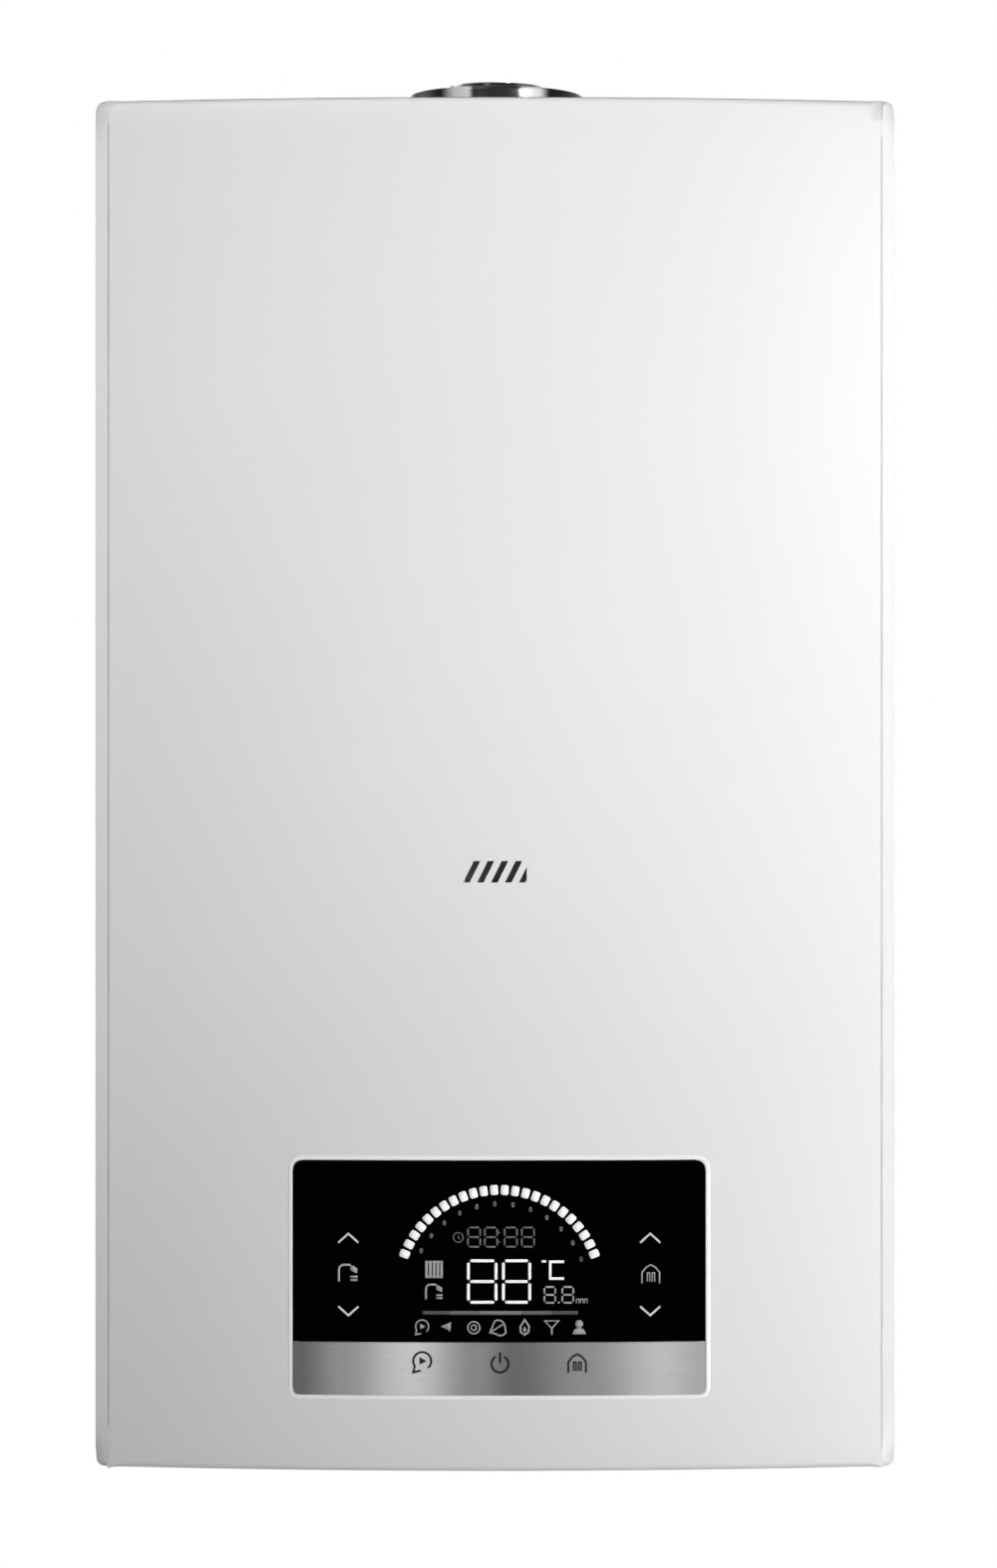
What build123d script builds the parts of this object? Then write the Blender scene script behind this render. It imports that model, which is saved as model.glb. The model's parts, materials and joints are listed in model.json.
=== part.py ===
from build123d import *
import math
import os

os.makedirs("parts", exist_ok=True)

# Wall-hung combi boiler. Millimetres, X to the right, the front faces -Y, +Z up.
# The wall is the plane y = 0. Heights are measured from the casing's base here, and save()
# moves each piece so that the origin lies midway between the two wall bolts.

# Casing
casing_width = 430.0
casing_height = 735.0
casing_depth = 328.0
front_bow = 20.0
sheet = 1.0
cover_return = 43.0
corner_radius = 9.0
edge_radius = 4.0
seam_gap = 0.6
ledge_gap = 0.4
ledge_depth = 20.0
panel_back_gap = 2.0

# Wall bracket and rear frame
bolt_drop = 73.0
bolt_spacing = 260.0
bolt_hole_radius = 4.5
bracket_width = 320.0
bracket_drop = 25.0
bracket_sheet = 2.0
hook_height = 12.0
hook_gap = 0.6
frame_standoff = 8.0
frame_sheet = 1.2
frame_flange = 30.0
spacer_radius = 12.0
spacer_height = 60.0

# Slots for looking at the flame
slot_count = 5
slot_pitch = 7.45
slot_width = 3.5
slot_height = 11.5
slot_lean = 5.7
slot_span = 34.0
slot_centre_z = 320.6

# Control panel on the front
panel_x = 2.3
panel_base = 41.4
panel_width = 219.8
panel_height = 124.4
panel_top_radius = 5.0
panel_base_radius = 3.0
panel_gap = 0.8
rim_depth = 4.0
bezel_rim = 2.4
bezel_proud = 0.6
strip_height = 25.3
face_thickness = 3.0
face_seam = 0.2

# Box behind the control panel, which swings down about its lower front edge
box_width = 330.0
box_base = 28.0
box_height = 154.0
box_setback = 16.0
box_depth = 55.0
box_front = casing_depth - box_setback
box_back = box_front - box_depth
box_wall = 2.2
lid_thickness = 2.2
hinge_setback = 24.0
hinge_y = hinge_setback - casing_depth
hinge_z = 22.0
pin_radius = 3.0
pin_clearance = 0.05
lug_half_width = 5.0
lug_reach = 6.0
arm_gap = 1.0
arm_sheet = 2.0
lug_offset = 122.0
board_thickness = 1.6
board_setback = 26.0
board_y = board_setback - box_front

# Flue and air connections on the top
flue_y = -140.0
spigot_radius = 27.5
spigot_wall = 1.2
spigot_rise = 30.3
spigot_length = 28.0
spigot_step = 0.4
collar_radius = 50.0
collar_wall = 1.2
collar_rise = 25.0
collar_flange_radius = 66.0
collar_flange = 2.0
air_hole_radius = 46.3
skirt_gap = 0.3
cap_x = -132.0
cap_radius = 48.0

# Sealed chamber
chamber_half_width = 188.0
chamber_back = -77.0
chamber_setback = 46.0
chamber_front = chamber_setback - casing_depth
chamber_base = 250.0
chamber_top_gap = 5.0
chamber_lip = 12.0
gasket_thickness = 3.0
door_overlap = 1.5
door_return = 6.0
emboss_inset = 34.0
emboss_depth = 3.0
grommet_gap = 0.3
window_radius = 14.0
window_z = 321.0

# Burner, combustion chamber and finned heat exchanger
stack_shift = 3.0
stack_margin = 37.0
stack_y = (chamber_back + chamber_front) / 2 - stack_shift
stack_half_width = 134.0
stack_half_depth = (chamber_back - chamber_front) / 2 - stack_margin
burner_base = 285.0
burner_top = 318.0
blade_count = 13
blade_pitch = 18.6
blade_thickness = 8.0
venturi_radius = 5.0
venturi_length = 9.0
manifold_size = 16.0
nozzle_radius = 2.5
nozzle_length = 3.0
fins_base = 445.0
fins_top = 505.0
insulation = 12.0
fin_count = 41
fin_pitch = 6.2
fin_thickness = 0.8
fin_gap = 0.1
run_count = 5
run_edge = 0.5
run_pitch = 2 * stack_half_depth / (run_count + run_edge)
run_radius = 8.0
run_end = 150.0
run_turn = 133.5
tube_wall = 1.0
electrode_radius = 3.5
electrode_z = 330.0

# Flue hood and fan
hood_top = 545.0
hood_wall = 1.0
hood_overlap = 10.0
fan_x = 46.0
fan_z = 610.0
fan_back = -112.0
fan_depth = 56.0
fan_wall = 1.2
impeller_radius = 50.0
scroll_radius = 56.0
scroll_step = 6.0
fan_top = 700.0
duct_depth = 28.0
fan_blades = 20
fan_shaft_radius = 4.0
shaft_clearance = 0.05
motor_radius = 38.0
motor_length = 54.0

# Water side
pipe_y = -110.0
pipe_pitch = 70.0
stub_drop = 18.0
three_quarter_radius = 13.2
half_inch_radius = 10.5
pipe_hole_gap = 2.0
copper_radius = 9.0
copper_wall = 1.0
copper_bend = 15.0
riser_x = 168.0
fitting_top = 20.0
upper_port_z = 108.0
lower_port_z = 65.0
arm_radius = 11.0
plate_front = -66.0
plate_half_width = 92.0
plate_base = 48.0
plate_height = 77.0
plate_depth = 44.0
plate_count = 16
nut_height = 8.0
nut_gap = 0.1
thread_relief = 0.3
discharge_radius = 8.0
discharge_end = -14.0
discharge_seat = -1.0

# Three-way valve
valve_radius = 18.0
valve_top = 125.0
stem_radius = 5.0
stem_travel = 8.0
actuator_lift = 10.0

# Pump
pump_z = 100.0
pump_back = -135.0
pump_depth = 40.0
pump_radius = 44.0
pump_motor_radius = 42.0
pump_motor_gap = 14.0
pump_motor_length = box_back - pump_motor_gap + pump_back - pump_depth
pump_shaft_radius = 3.0
magnet_radius = 16.0
pump_impeller_radius = 32.0
vent_x = 118.0
vent_base = 150.0
vent_height = 42.0
pump_outlet_top = 160.0
return_turn_low = 192.0
return_turn_high = 222.0
flow_turn_z = 152.0

# Gas valve
gas_valve_setback = 57.0
gas_valve_y = gas_valve_setback - box_back
gas_valve_base = 110.0
gas_valve_height = 75.0
gas_valve_half = 32.0
gas_manifold_setback = 20.0
gas_manifold_y = chamber_front + gas_manifold_setback

# Expansion vessel
vessel_base = 300.0
vessel_height = 390.0
vessel_width = 320.0
vessel_depth = 56.0
vessel_corner = 60.0
vessel_edge = 16.0
vessel_wall = 1.5
vessel_seam = 5.0
hose_radius = 6.0
hose_high = 205.0
hose_low = 165.0
hose_wall = 1.5

# Safety valve, filling tap and flow sensor
safety_x = 178.0
safety_base = 28.0
safety_top = 72.0
filling_x = 104.0
filling_z = 40.0
knob_radius = 13.0
knob_height = 13.0
knob_drop = 16.0
turbine_radius = 9.0
running_gap = 0.5

filling_stem = 3.5
turbine_low = 30.0
turbine_high = 48.0

# Air pressure switch, its hoses, screws and the cable gland
switch_y = -190.0
switch_z = 600.0
switch_radius = 32.0
switch_depth = 18.0
nipple_radius = 3.0
nipple_spacing = 16.0
nipple_reach = 19.0
air_hose_radius = 3.5
air_hose_wall = 1.2
screw_radius = 2.0
screw_head_radius = 4.5
screw_head = 2.5
screw_length = 6.0
screw_clearance = 0.05
gland_x = -186.0
gland_y = -60.0
gland_radius = 8.0

# Lines that follow from the sizes above
half_width = casing_width / 2
inner_half = half_width - sheet
front_y = -casing_depth
side_front_y = front_y + front_bow
cover_back = side_front_y + cover_return
panel_front = cover_back + seam_gap
ledge_front = panel_front - ledge_depth
ledge_face = sheet + ledge_gap
bow_radius = (half_width**2 + front_bow**2) / (2 * front_bow)
bow_centre_y = front_y + bow_radius
bolt_z = casing_height - bolt_drop
frame_back = -frame_standoff
frame_front = frame_back - frame_sheet
chamber_top = casing_height - chamber_top_gap
door_y = chamber_front - gasket_thickness
door_front = door_y - sheet
panel_top = panel_base + panel_height
fan_front = fan_back - fan_depth
pump_x = 2 * pipe_pitch
pump_front = pump_back - pump_depth
pump_motor_front = pump_front - pump_motor_length
stack_front = stack_y - stack_half_depth
stack_back = stack_y + stack_half_depth
run_z = (fins_base + fins_top) / 2
run_rows = [stack_y + run_pitch * (run_count - 1) / 2 - run_pitch * i for i in range(run_count)]
blade_xs = [blade_pitch * (i - (blade_count - 1) / 2) for i in range(blade_count)]
venturi_z = burner_base + venturi_radius + 1.0
gas_valve_top = gas_valve_base + gas_valve_height
electrode_xs = [-58.0, -44.0, 62.0]
pump_outlet_y = pump_back - pump_depth / 2
vessel_port_x = 130.0
vessel_port_y = frame_front - vessel_depth / 2 + 12
switch_wall = sheet - chamber_half_width
nipple_end = switch_wall + switch_depth + nipple_reach


def save(name, *shapes):
    """Write one named node, moved from the casing's base to the wall bolts."""
    solids = [Pos(0, 0, -bolt_z) * solid for shape in shapes for solid in shape.solids()]
    node = solids[0] if len(solids) == 1 else Compound(solids)
    export_step(node, f"parts/{name}.step")


def block(x0, x1, y0, y1, z0, z1):
    """Box between two corners."""
    return Pos((x0 + x1) / 2, (y0 + y1) / 2, (z0 + z1) / 2) * Box(x1 - x0, y1 - y0, z1 - z0)


def rod_x(y, z, radius, x0, x1):
    """Cylinder along X."""
    return Pos((x0 + x1) / 2, y, z) * Rot(0, 90, 0) * Cylinder(radius, abs(x1 - x0))


def rod_y(x, z, radius, y0, y1):
    """Cylinder along Y."""
    return Pos(x, (y0 + y1) / 2, z) * Rot(90, 0, 0) * Cylinder(radius, abs(y1 - y0))


def rod_z(x, y, radius, z0, z1):
    """Cylinder along Z."""
    return Pos(x, y, (z0 + z1) / 2) * Cylinder(radius, z1 - z0)


def hexagon_z(x, y, across_corners, z0, z1):
    """Hexagonal prism along Z, given by the radius of its corners."""
    face = Pos(x, y, z0) * RegularPolygon(across_corners, 6)
    return extrude(face, z1 - z0)


def pipe(points, radius, wall, bend):
    """Round pipe along straight runs joined by tangent arcs."""
    path = FilletPolyline(*points, radius=bend)
    section = Plane(origin=path @ 0, z_dir=path % 0) * (Circle(radius) - Circle(radius - wall))
    return sweep(section, path=path)


def bow_y(x, proud=0.0):
    """Where the bowed front lies at x, moved outwards by proud."""
    return bow_centre_y - math.sqrt((bow_radius + proud) ** 2 - x**2)


def bow_slab(inner, outer):
    """Layer of the bowed front between two offsets from its outer skin."""
    height = casing_height
    axis = Pos(0, bow_centre_y, height / 2)
    return axis * Cylinder(bow_radius + outer, height) - axis * Cylinder(bow_radius + inner, height)


def cover_body(inset, back):
    """Closed body of the front cover's shape, inset from its outer skin."""
    half = half_width - inset
    corner_y = bow_centre_y - math.sqrt((bow_radius - inset) ** 2 - half**2)
    left = (-half, corner_y)
    right = (half, corner_y)
    middle = (0, front_y + inset)
    outline = Line((-half, back), left) + ThreePointArc(left, middle, right)
    outline += Line(right, (half, back)) + Line((half, back), (-half, back))
    plan = make_face(outline)
    plan = fillet(plan.vertices().sort_by(Axis.Y)[:2], corner_radius - inset)
    body = extrude(Pos(0, 0, inset) * plan, casing_height - 2 * inset)
    rims = body.edges().group_by(Axis.Z)
    ends = [edge for edge in rims[0] + rims[-1] if edge.center().Y < back - 0.1]
    return fillet(ends, edge_radius - inset)


def panel_prism(grow):
    """Prism along Y of the control panel's outline, grown all round."""
    half = panel_width / 2 + grow
    face = Plane.XZ * Pos(panel_x, panel_base + panel_height / 2) * Rectangle(2 * half, panel_height + 2 * grow)
    corners = face.vertices().group_by(Axis.Z)
    face = fillet(corners[0], panel_base_radius + grow)
    face = fillet(face.vertices().group_by(Axis.Z)[-1], panel_top_radius + grow)
    return extrude(face, casing_depth + 20)


def flame_slots():
    """Slanted bars through the front, the last one cut off upright."""
    low = slot_centre_z - slot_height / 2
    high = slot_centre_z + slot_height / 2
    limit = block(-slot_span / 2, slot_span / 2, front_y - 5, front_y + 10, low, high)
    bars = []
    for index in range(slot_count):
        x = -slot_span / 2 + slot_pitch * index
        corners = [(x, low), (x + slot_width, low), (x + slot_width + slot_lean, high), (x + slot_lean, high)]
        bar = extrude(Plane.XZ * make_face(Polyline(*corners, close=True)), casing_depth + 10)
        bars.append(bar & limit)
    return bars


def cover_screw_places():
    """Screws that hold the cover's lower edge."""
    return [(x, ledge_front + ledge_depth / 2) for x in (-150.0, 150.0)]


def front_cover():
    """Bowed steel cover with its panel opening and flame slots."""
    cover = cover_body(0, cover_back) - cover_body(sheet, cover_back + 10)
    opening = panel_prism(panel_gap)
    rim = (panel_prism(panel_gap + sheet) - opening) & bow_slab(-rim_depth, 0)
    cover = cover - opening + rim
    for bar in flame_slots():
        cover -= bar
    for x, y in cover_screw_places():
        cover -= rod_z(x, y, screw_radius + 0.3, -1, sheet + 1)
        cover -= block(x - screw_radius - 0.3, x + screw_radius + 0.3, y, cover_back + 1, -1, sheet + 1)
    return cover


def side_panel():
    """Right side panel with the stepped flange that the cover slides over."""
    skin = block(inner_half, half_width, panel_front, -panel_back_gap, 0, casing_height)
    ledge_x = half_width - ledge_face
    low = edge_radius
    high = casing_height - edge_radius
    step = block(ledge_x - sheet, inner_half, panel_front, panel_front + sheet, low, high)
    flange = block(ledge_x - sheet, ledge_x, ledge_front, panel_front + sheet, low, high)
    return skin + step + flange


def ledge(z_skin, direction):
    """Stepped front lip of the top or bottom plate."""
    half = inner_half - edge_radius
    near = z_skin + direction * ledge_face
    far = near + direction * sheet
    step = block(-half, half, panel_front, panel_front + sheet, min(z_skin, far), max(z_skin, far))
    lip = block(-half, half, ledge_front, panel_front + sheet, min(near, far), max(near, far))
    return step + lip


def top_plate():
    """Top plate with the flue opening and the spare air opening."""
    plate = block(-inner_half, inner_half, panel_front, frame_back, casing_height - sheet, casing_height)
    plate += ledge(casing_height, -1)
    plate -= rod_z(0, flue_y, air_hole_radius, casing_height - 5, casing_height + 5)
    plate -= rod_z(cap_x, flue_y, cap_radius - 10, casing_height - 5, casing_height + 5)
    for x, y in collar_screw_places() + cap_screw_places():
        plate -= rod_z(x, y, screw_radius, casing_height - 5, casing_height + 5)
    return plate


def bottom_plate():
    """Bottom plate with the pipe, knob, drain and cable openings."""
    plate = block(-inner_half, inner_half, panel_front, frame_back, 0, sheet)
    plate += ledge(0, 1)
    for x, radius in pipe_places():
        plate -= rod_z(x, pipe_y, radius + pipe_hole_gap, -5, 5)
    plate -= rod_z(filling_x, pipe_y, knob_radius + pipe_hole_gap, -5, 5)
    plate -= rod_z(safety_x, pipe_y, discharge_radius + pipe_hole_gap, -5, 5)
    plate -= rod_z(gland_x, gland_y, gland_radius + nut_gap, -5, 5)
    for x, y in cover_screw_places():
        plate -= rod_z(x, y, screw_radius, -1, 5)
    return plate


def pipe_places():
    """The five connections, left to right, each with its thread radius."""
    radii = [three_quarter_radius, half_inch_radius, half_inch_radius, half_inch_radius, three_quarter_radius]
    return [(pipe_pitch * (index - 2), radius) for index, radius in enumerate(radii)]


def wall_bracket():
    """Plate bolted to the wall, with the upturned lip that the frame hangs on."""
    half = bracket_width / 2
    top = bolt_z + bracket_drop
    bracket = block(-half, half, -bracket_sheet, 0, bolt_z - bracket_drop, top)
    bracket += block(-half, half, -3 * bracket_sheet, 0, top - bracket_sheet, top)
    bracket += block(-half, half, -3 * bracket_sheet, -2 * bracket_sheet, top, top + hook_height)
    for x in (-bolt_spacing / 2, bolt_spacing / 2):
        bracket -= rod_y(x, bolt_z, bolt_hole_radius, -3 * bracket_sheet, 1)
    return bracket


def rear_frame():
    """Back plate with side flanges, hanging rail, wall spacers and chamber brackets."""
    low = sheet
    high = casing_height - sheet
    frame = block(-inner_half, inner_half, frame_front, frame_back, low, high)
    for side in (-1, 1):
        xs = sorted((side * inner_half, side * (inner_half - frame_sheet)))
        frame += block(*xs, frame_front - frame_flange, frame_front, low, high)
        frame += rod_y(side * (inner_half - 34), spacer_height, spacer_radius, frame_back, 0)
        for z in (chamber_base + 12, chamber_top - 60):
            xs = sorted((side * (chamber_half_width - 8), side * (chamber_half_width - 8 - frame_sheet)))
            frame += block(*xs, chamber_back, frame_front, z, z + 40)
            xs = sorted((side * (chamber_half_width - 8), side * (chamber_half_width + 6)))
            frame += block(*xs, chamber_back, chamber_back + frame_sheet, z, z + 40)
    hook_half = bracket_width / 2 - 8
    seat = bolt_z + bracket_drop + hook_height
    lip_front = -2 * bracket_sheet + hook_gap
    frame += block(-hook_half, hook_half, frame_back, lip_front + frame_sheet, seat, seat + frame_sheet)
    lip_low = seat - hook_height + hook_gap
    frame += block(-hook_half, hook_half, lip_front, lip_front + frame_sheet, lip_low, seat + frame_sheet)
    return frame


def collar_screw_places():
    """Screws round the air collar's flange."""
    reach = (collar_flange_radius + collar_radius) / 2
    return [
        (reach * math.cos(math.radians(angle)), flue_y + reach * math.sin(math.radians(angle)))
        for angle in (45, 135, 225, 315)
    ]


def cap_screw_places():
    """Screws round the spare air opening's cap."""
    reach = cap_radius - 5
    return [
        (cap_x + reach * math.cos(math.radians(angle)), flue_y + reach * math.sin(math.radians(angle)))
        for angle in (90, 210, 330)
    ]


def door_screw_places():
    """Screws round the chamber door."""
    x = chamber_half_width - chamber_lip / 2
    zs = [chamber_base + chamber_lip / 2, (chamber_base + chamber_top) / 2, chamber_top - chamber_lip / 2]
    return [(side * x, z) for side in (-1, 1) for z in zs]


def casing_screws():
    """Every visible screw, each a domed head on a plain shank."""
    screws = []
    for x, y in cover_screw_places():
        head = rod_z(x, y, screw_head_radius, -screw_head - 0.2, -0.2)
        screws.append(head + rod_z(x, y, screw_radius - screw_clearance, -0.2, screw_length))
    for x, y in collar_screw_places() + cap_screw_places():
        low = casing_height + collar_flange
        head = rod_z(x, y, screw_head_radius, low, low + screw_head)
        screws.append(head + rod_z(x, y, screw_radius - screw_clearance, low - screw_length, low))
    for x, z in door_screw_places():
        head = rod_y(x, z, screw_head_radius, door_front - screw_head, door_front)
        screws.append(head + rod_y(x, z, screw_radius - screw_clearance, door_front, door_front + screw_length))
    return screws


def air_collar():
    """Flanged ring round the flue spigot, for the outer air pipe."""
    base = casing_height
    lip = base + collar_flange
    bore = air_hole_radius - skirt_gap - collar_wall
    collar = rod_z(0, flue_y, collar_flange_radius, base, lip)
    collar += rod_z(0, flue_y, collar_radius, lip, base + collar_rise)
    collar -= rod_z(0, flue_y, collar_radius - collar_wall, lip, base + collar_rise + 1)
    collar += rod_z(0, flue_y, air_hole_radius - skirt_gap, chamber_top, base)
    collar -= rod_z(0, flue_y, bore, chamber_top - 1, lip + 1)
    for x, y in collar_screw_places():
        collar -= rod_z(x, y, screw_radius, base - 1, lip + 1)
    for side in (-1, 1):
        x = side * (collar_flange_radius + collar_radius) / 2
        collar += rod_z(x, flue_y, 6.0, lip, lip + 12)
        collar += rod_z(x, flue_y, 4.0, lip + 12, lip + 15)
    return collar


def flue_spigot():
    """Steel flue outlet that stands on the fan's mouth."""
    top = casing_height + spigot_rise
    flange = block(-31, 31, fan_front - 1, fan_back + 1, fan_top, fan_top + fan_wall)
    spigot = flange + rod_z(0, flue_y, spigot_radius - spigot_step, fan_top, top - spigot_length)
    spigot += rod_z(0, flue_y, spigot_radius, top - spigot_length, top)
    return spigot - rod_z(0, flue_y, spigot_radius - spigot_wall, fan_top - 1, top + 1)


def air_intake_cap():
    """Disc that closes the spare air opening."""
    low = casing_height
    cap = rod_z(cap_x, flue_y, cap_radius, low, low + collar_flange)
    cap += rod_z(cap_x, flue_y, cap_radius - 14, low + collar_flange, low + collar_flange + 3)
    cap += rod_z(cap_x, flue_y, cap_radius - 10.5, low - sheet, low)
    for x, y in cap_screw_places():
        cap -= rod_z(x, y, screw_radius, low - 2, low + collar_flange + 1)
    return cap


def vessel_half(inset, y_seam, y_end):
    """Solid of one dished half of the expansion vessel."""
    width = vessel_width - 2 * inset
    height = vessel_height - 2 * inset
    face = Pos(0, y_seam, vessel_base + vessel_height / 2) * (
        Plane.XZ * RectangleRounded(width, height, vessel_corner - inset)
    )
    body = extrude(face, y_seam - y_end)
    far = body.faces().sort_by(Axis.Y)[0 if y_end < y_seam else -1]
    return fillet(far.edges(), vessel_edge - inset)


def expansion_vessel():
    """Two dished halves that meet at a seam, and the water port."""
    seam = frame_front - vessel_depth / 2
    halves = []
    for direction in (-1, 1):
        end = seam + direction * vessel_depth / 2
        outer = vessel_half(0, seam, end)
        inner = vessel_half(vessel_wall, seam, end - direction * vessel_wall)
        rim_face = Pos(0, seam, vessel_base + vessel_height / 2) * (
            Plane.XZ
            * RectangleRounded(vessel_width + 2 * vessel_seam, vessel_height + 2 * vessel_seam, vessel_corner)
        )
        rim = extrude(rim_face, -direction * vessel_wall)
        halves.append(outer + rim - inner)
    return halves


def vessel_port():
    """Threaded port under the vessel's front half."""
    port = rod_z(vessel_port_x, vessel_port_y, 8.0, vessel_base - 12, vessel_base + 1)
    return port


def chamber_box():
    """Sealed chamber, open at the front inside a flat lip."""
    outer = block(-chamber_half_width, chamber_half_width, chamber_front, chamber_back, chamber_base, chamber_top)
    inner = block(
        sheet - chamber_half_width,
        chamber_half_width - sheet,
        chamber_front + sheet,
        chamber_back - sheet,
        chamber_base + sheet,
        chamber_top - sheet,
    )
    box = outer - inner
    half = chamber_half_width - chamber_lip
    box -= block(-half, half, chamber_front - 1, chamber_front + 2, chamber_base + chamber_lip, chamber_top - chamber_lip)
    box -= rod_z(0, flue_y, air_hole_radius - 2, chamber_top - 5, chamber_top + 5)
    for x, y in [(-riser_x, run_rows[-1]), (riser_x, run_rows[0]), (0, gas_manifold_y)]:
        box -= rod_z(x, y, copper_radius + grommet_gap, chamber_base - 5, chamber_base + 5)
    for x, z in door_screw_places():
        box -= rod_y(x, z, screw_radius, chamber_front - 1, chamber_front + 2)
    return box


def chamber_gasket():
    """Soft seal between the chamber's lip and its door."""
    half = chamber_half_width - chamber_lip
    gasket = block(-chamber_half_width, chamber_half_width, door_y, chamber_front, chamber_base, chamber_top)
    gasket -= block(-half, half, door_y - 1, chamber_front + 1, chamber_base + chamber_lip, chamber_top - chamber_lip)
    for x, z in door_screw_places():
        gasket -= rod_y(x, z, screw_radius, door_y - 1, chamber_front + 1)
    return gasket


def chamber_door():
    """Door with a raised field and the sight window's hole."""
    half = chamber_half_width + door_overlap
    low = chamber_base - door_overlap
    high = chamber_top + door_overlap
    door = block(-half, half, door_front, door_y + door_return, low, high)
    door -= block(sheet - half, half - sheet, door_y, door_y + door_return + 1, low + sheet, high - sheet)
    centre = (0, door_front, (low + high) / 2)
    field = RectangleRounded(2 * (half - emboss_inset), high - low - 2 * emboss_inset, 24)
    inner_field = RectangleRounded(2 * (half - emboss_inset - sheet), high - low - 2 * (emboss_inset + sheet), 23)
    door += extrude(Pos(*centre) * (Plane.XZ * field), emboss_depth)
    door -= extrude(Pos(0, door_y, centre[2]) * (Plane.XZ * inner_field), emboss_depth)
    door -= rod_y(panel_x, window_z, window_radius - 2, door_front - emboss_depth - 1, door_y + 1)
    for x, z in door_screw_places():
        door -= rod_y(x, z, screw_radius, door_front - 1, door_y + 1)
    return door


def sight_glass():
    """Glass disc over the door's window, in its round holder."""
    face = door_front - emboss_depth
    holder = rod_y(panel_x, window_z, window_radius + 5, face - 3, face)
    return holder - rod_y(panel_x, window_z, window_radius - 3, face - 4, face - 2)


def combustion_chamber():
    """Sheet box that holds the insulation above the burner."""
    outer = block(-stack_half_width, stack_half_width, stack_front, stack_back, burner_top, fins_base)
    inner = block(
        sheet - stack_half_width,
        stack_half_width - sheet,
        stack_front + sheet,
        stack_back - sheet,
        burner_top - 1,
        fins_base + 1,
    )
    return outer - inner - flame_window() - electrode_holes()


def flame_window():
    """Opening in the chamber's front wall and its insulation."""
    return block(-16, 20, stack_front - 1, stack_front + insulation + sheet + 1, 345, 365)


def electrode_holes():
    """Holes for the ignition and sensing electrodes."""
    holes = [
        rod_y(x, electrode_z, electrode_radius + grommet_gap, stack_front - 1, stack_front + insulation + 2)
        for x in electrode_xs
    ]
    return holes[0] + holes[1] + holes[2]


def insulation_boards():
    """Four fibre boards that line the combustion chamber."""
    half = stack_half_width - sheet
    front = stack_front + sheet
    back = stack_back - sheet
    low = burner_top
    high = fins_base
    inner = half - insulation
    boards = [block(-half, -inner, front, back, low, high), block(inner, half, front, back, low, high)]
    boards.append(block(-inner, inner, back - insulation, back, low, high))
    boards.append(block(-inner, inner, front, front + insulation, low, high) - flame_window() - electrode_holes())
    return boards


def burner_blades():
    """Row of flat burner bars, each with its gas and air inlet in front."""
    blades = []
    for x in blade_xs:
        front = stack_front + 8
        back = stack_back - 9
        blade = block(
            x - blade_thickness / 2, x + blade_thickness / 2, front, back, burner_base, burner_top - 2
        )
        blade = chamfer(blade.edges().filter_by(Axis.Y).group_by(Axis.Z)[-1], 2.0)
        inlet = rod_y(x, venturi_z, venturi_radius, front - venturi_length, front)
        inlet -= rod_y(x, venturi_z, venturi_radius - 1, front - venturi_length - 1, front)
        blades.append(blade + inlet)
    return blades


def burner_frame():
    """Side plates and rails that carry the burner bars and stand on the chamber's floor."""
    half = blade_xs[-1] + blade_thickness
    front = stack_front + 8
    back = stack_back - 9
    floor = chamber_base + sheet
    manifold_front = gas_manifold_y - manifold_size / 2
    frame = block(-half, half, back, back + frame_sheet, burner_base, burner_top)
    frame += block(-half, half, front - frame_sheet, front, venturi_z + venturi_radius + 4, burner_top)
    for side in (-1, 1):
        xs = sorted((side * half, side * (half + frame_sheet)))
        frame += block(*xs, manifold_front, stack_back - sheet, floor, burner_top)
    return frame


def gas_manifold():
    """Square gas rail with one nozzle for each burner bar."""
    half = blade_xs[-1] + blade_thickness
    back = gas_manifold_y + manifold_size / 2
    low = venturi_z - manifold_size / 2
    rail = block(-half, half, gas_manifold_y - manifold_size / 2, back, low, low + manifold_size)
    for x in blade_xs:
        rail += rod_y(x, venturi_z, nozzle_radius, back, back + nozzle_length)
    return rail


def electrodes():
    """Ceramic bodies with their wires, two for ignition and one for sensing."""
    bodies = []
    for x in electrode_xs:
        body = rod_y(x, electrode_z, electrode_radius, stack_front - 22, stack_front + insulation + 4)
        body += rod_y(x, electrode_z, electrode_radius + 3, stack_front - 4, stack_front)
        body += rod_y(x, electrode_z, 1.2, stack_front + insulation + 4, stack_front + insulation + 26)
        bodies.append(body)
    return bodies


def exchanger_fins():
    """Stack of thin fins between end plates, with the rails that join these."""
    tubes = [Pos(y, run_z) * Circle(run_radius + fin_gap) for y in run_rows]
    middle = (stack_y, (fins_base + fins_top) / 2)
    fin = Pos(*middle) * Rectangle(2 * stack_half_depth - 4, fins_top - fins_base - 4)
    plate = Pos(*middle) * Rectangle(2 * stack_half_depth, fins_top - fins_base)
    for hole in tubes:
        fin -= hole
        plate -= hole
    pieces = []
    for index in range(fin_count):
        x = fin_pitch * (index - (fin_count - 1) / 2)
        pieces.append(extrude(Pos(x - fin_thickness / 2, 0, 0) * (Plane.YZ * fin), fin_thickness))
    end = stack_half_width - 5
    frame = extrude(Pos(end, 0, 0) * (Plane.YZ * plate), 1.5)
    frame += extrude(Pos(-end - 1.5, 0, 0) * (Plane.YZ * plate), 1.5)
    for y0, y1 in ((stack_front, stack_front + 2), (stack_back - 2, stack_back)):
        for z0, z1 in ((fins_base, fins_base + 7), (fins_top - 7, fins_top)):
            frame += block(-end, end, y0, y1, z0, z1)
    pieces.append(frame)
    return pieces


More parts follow.
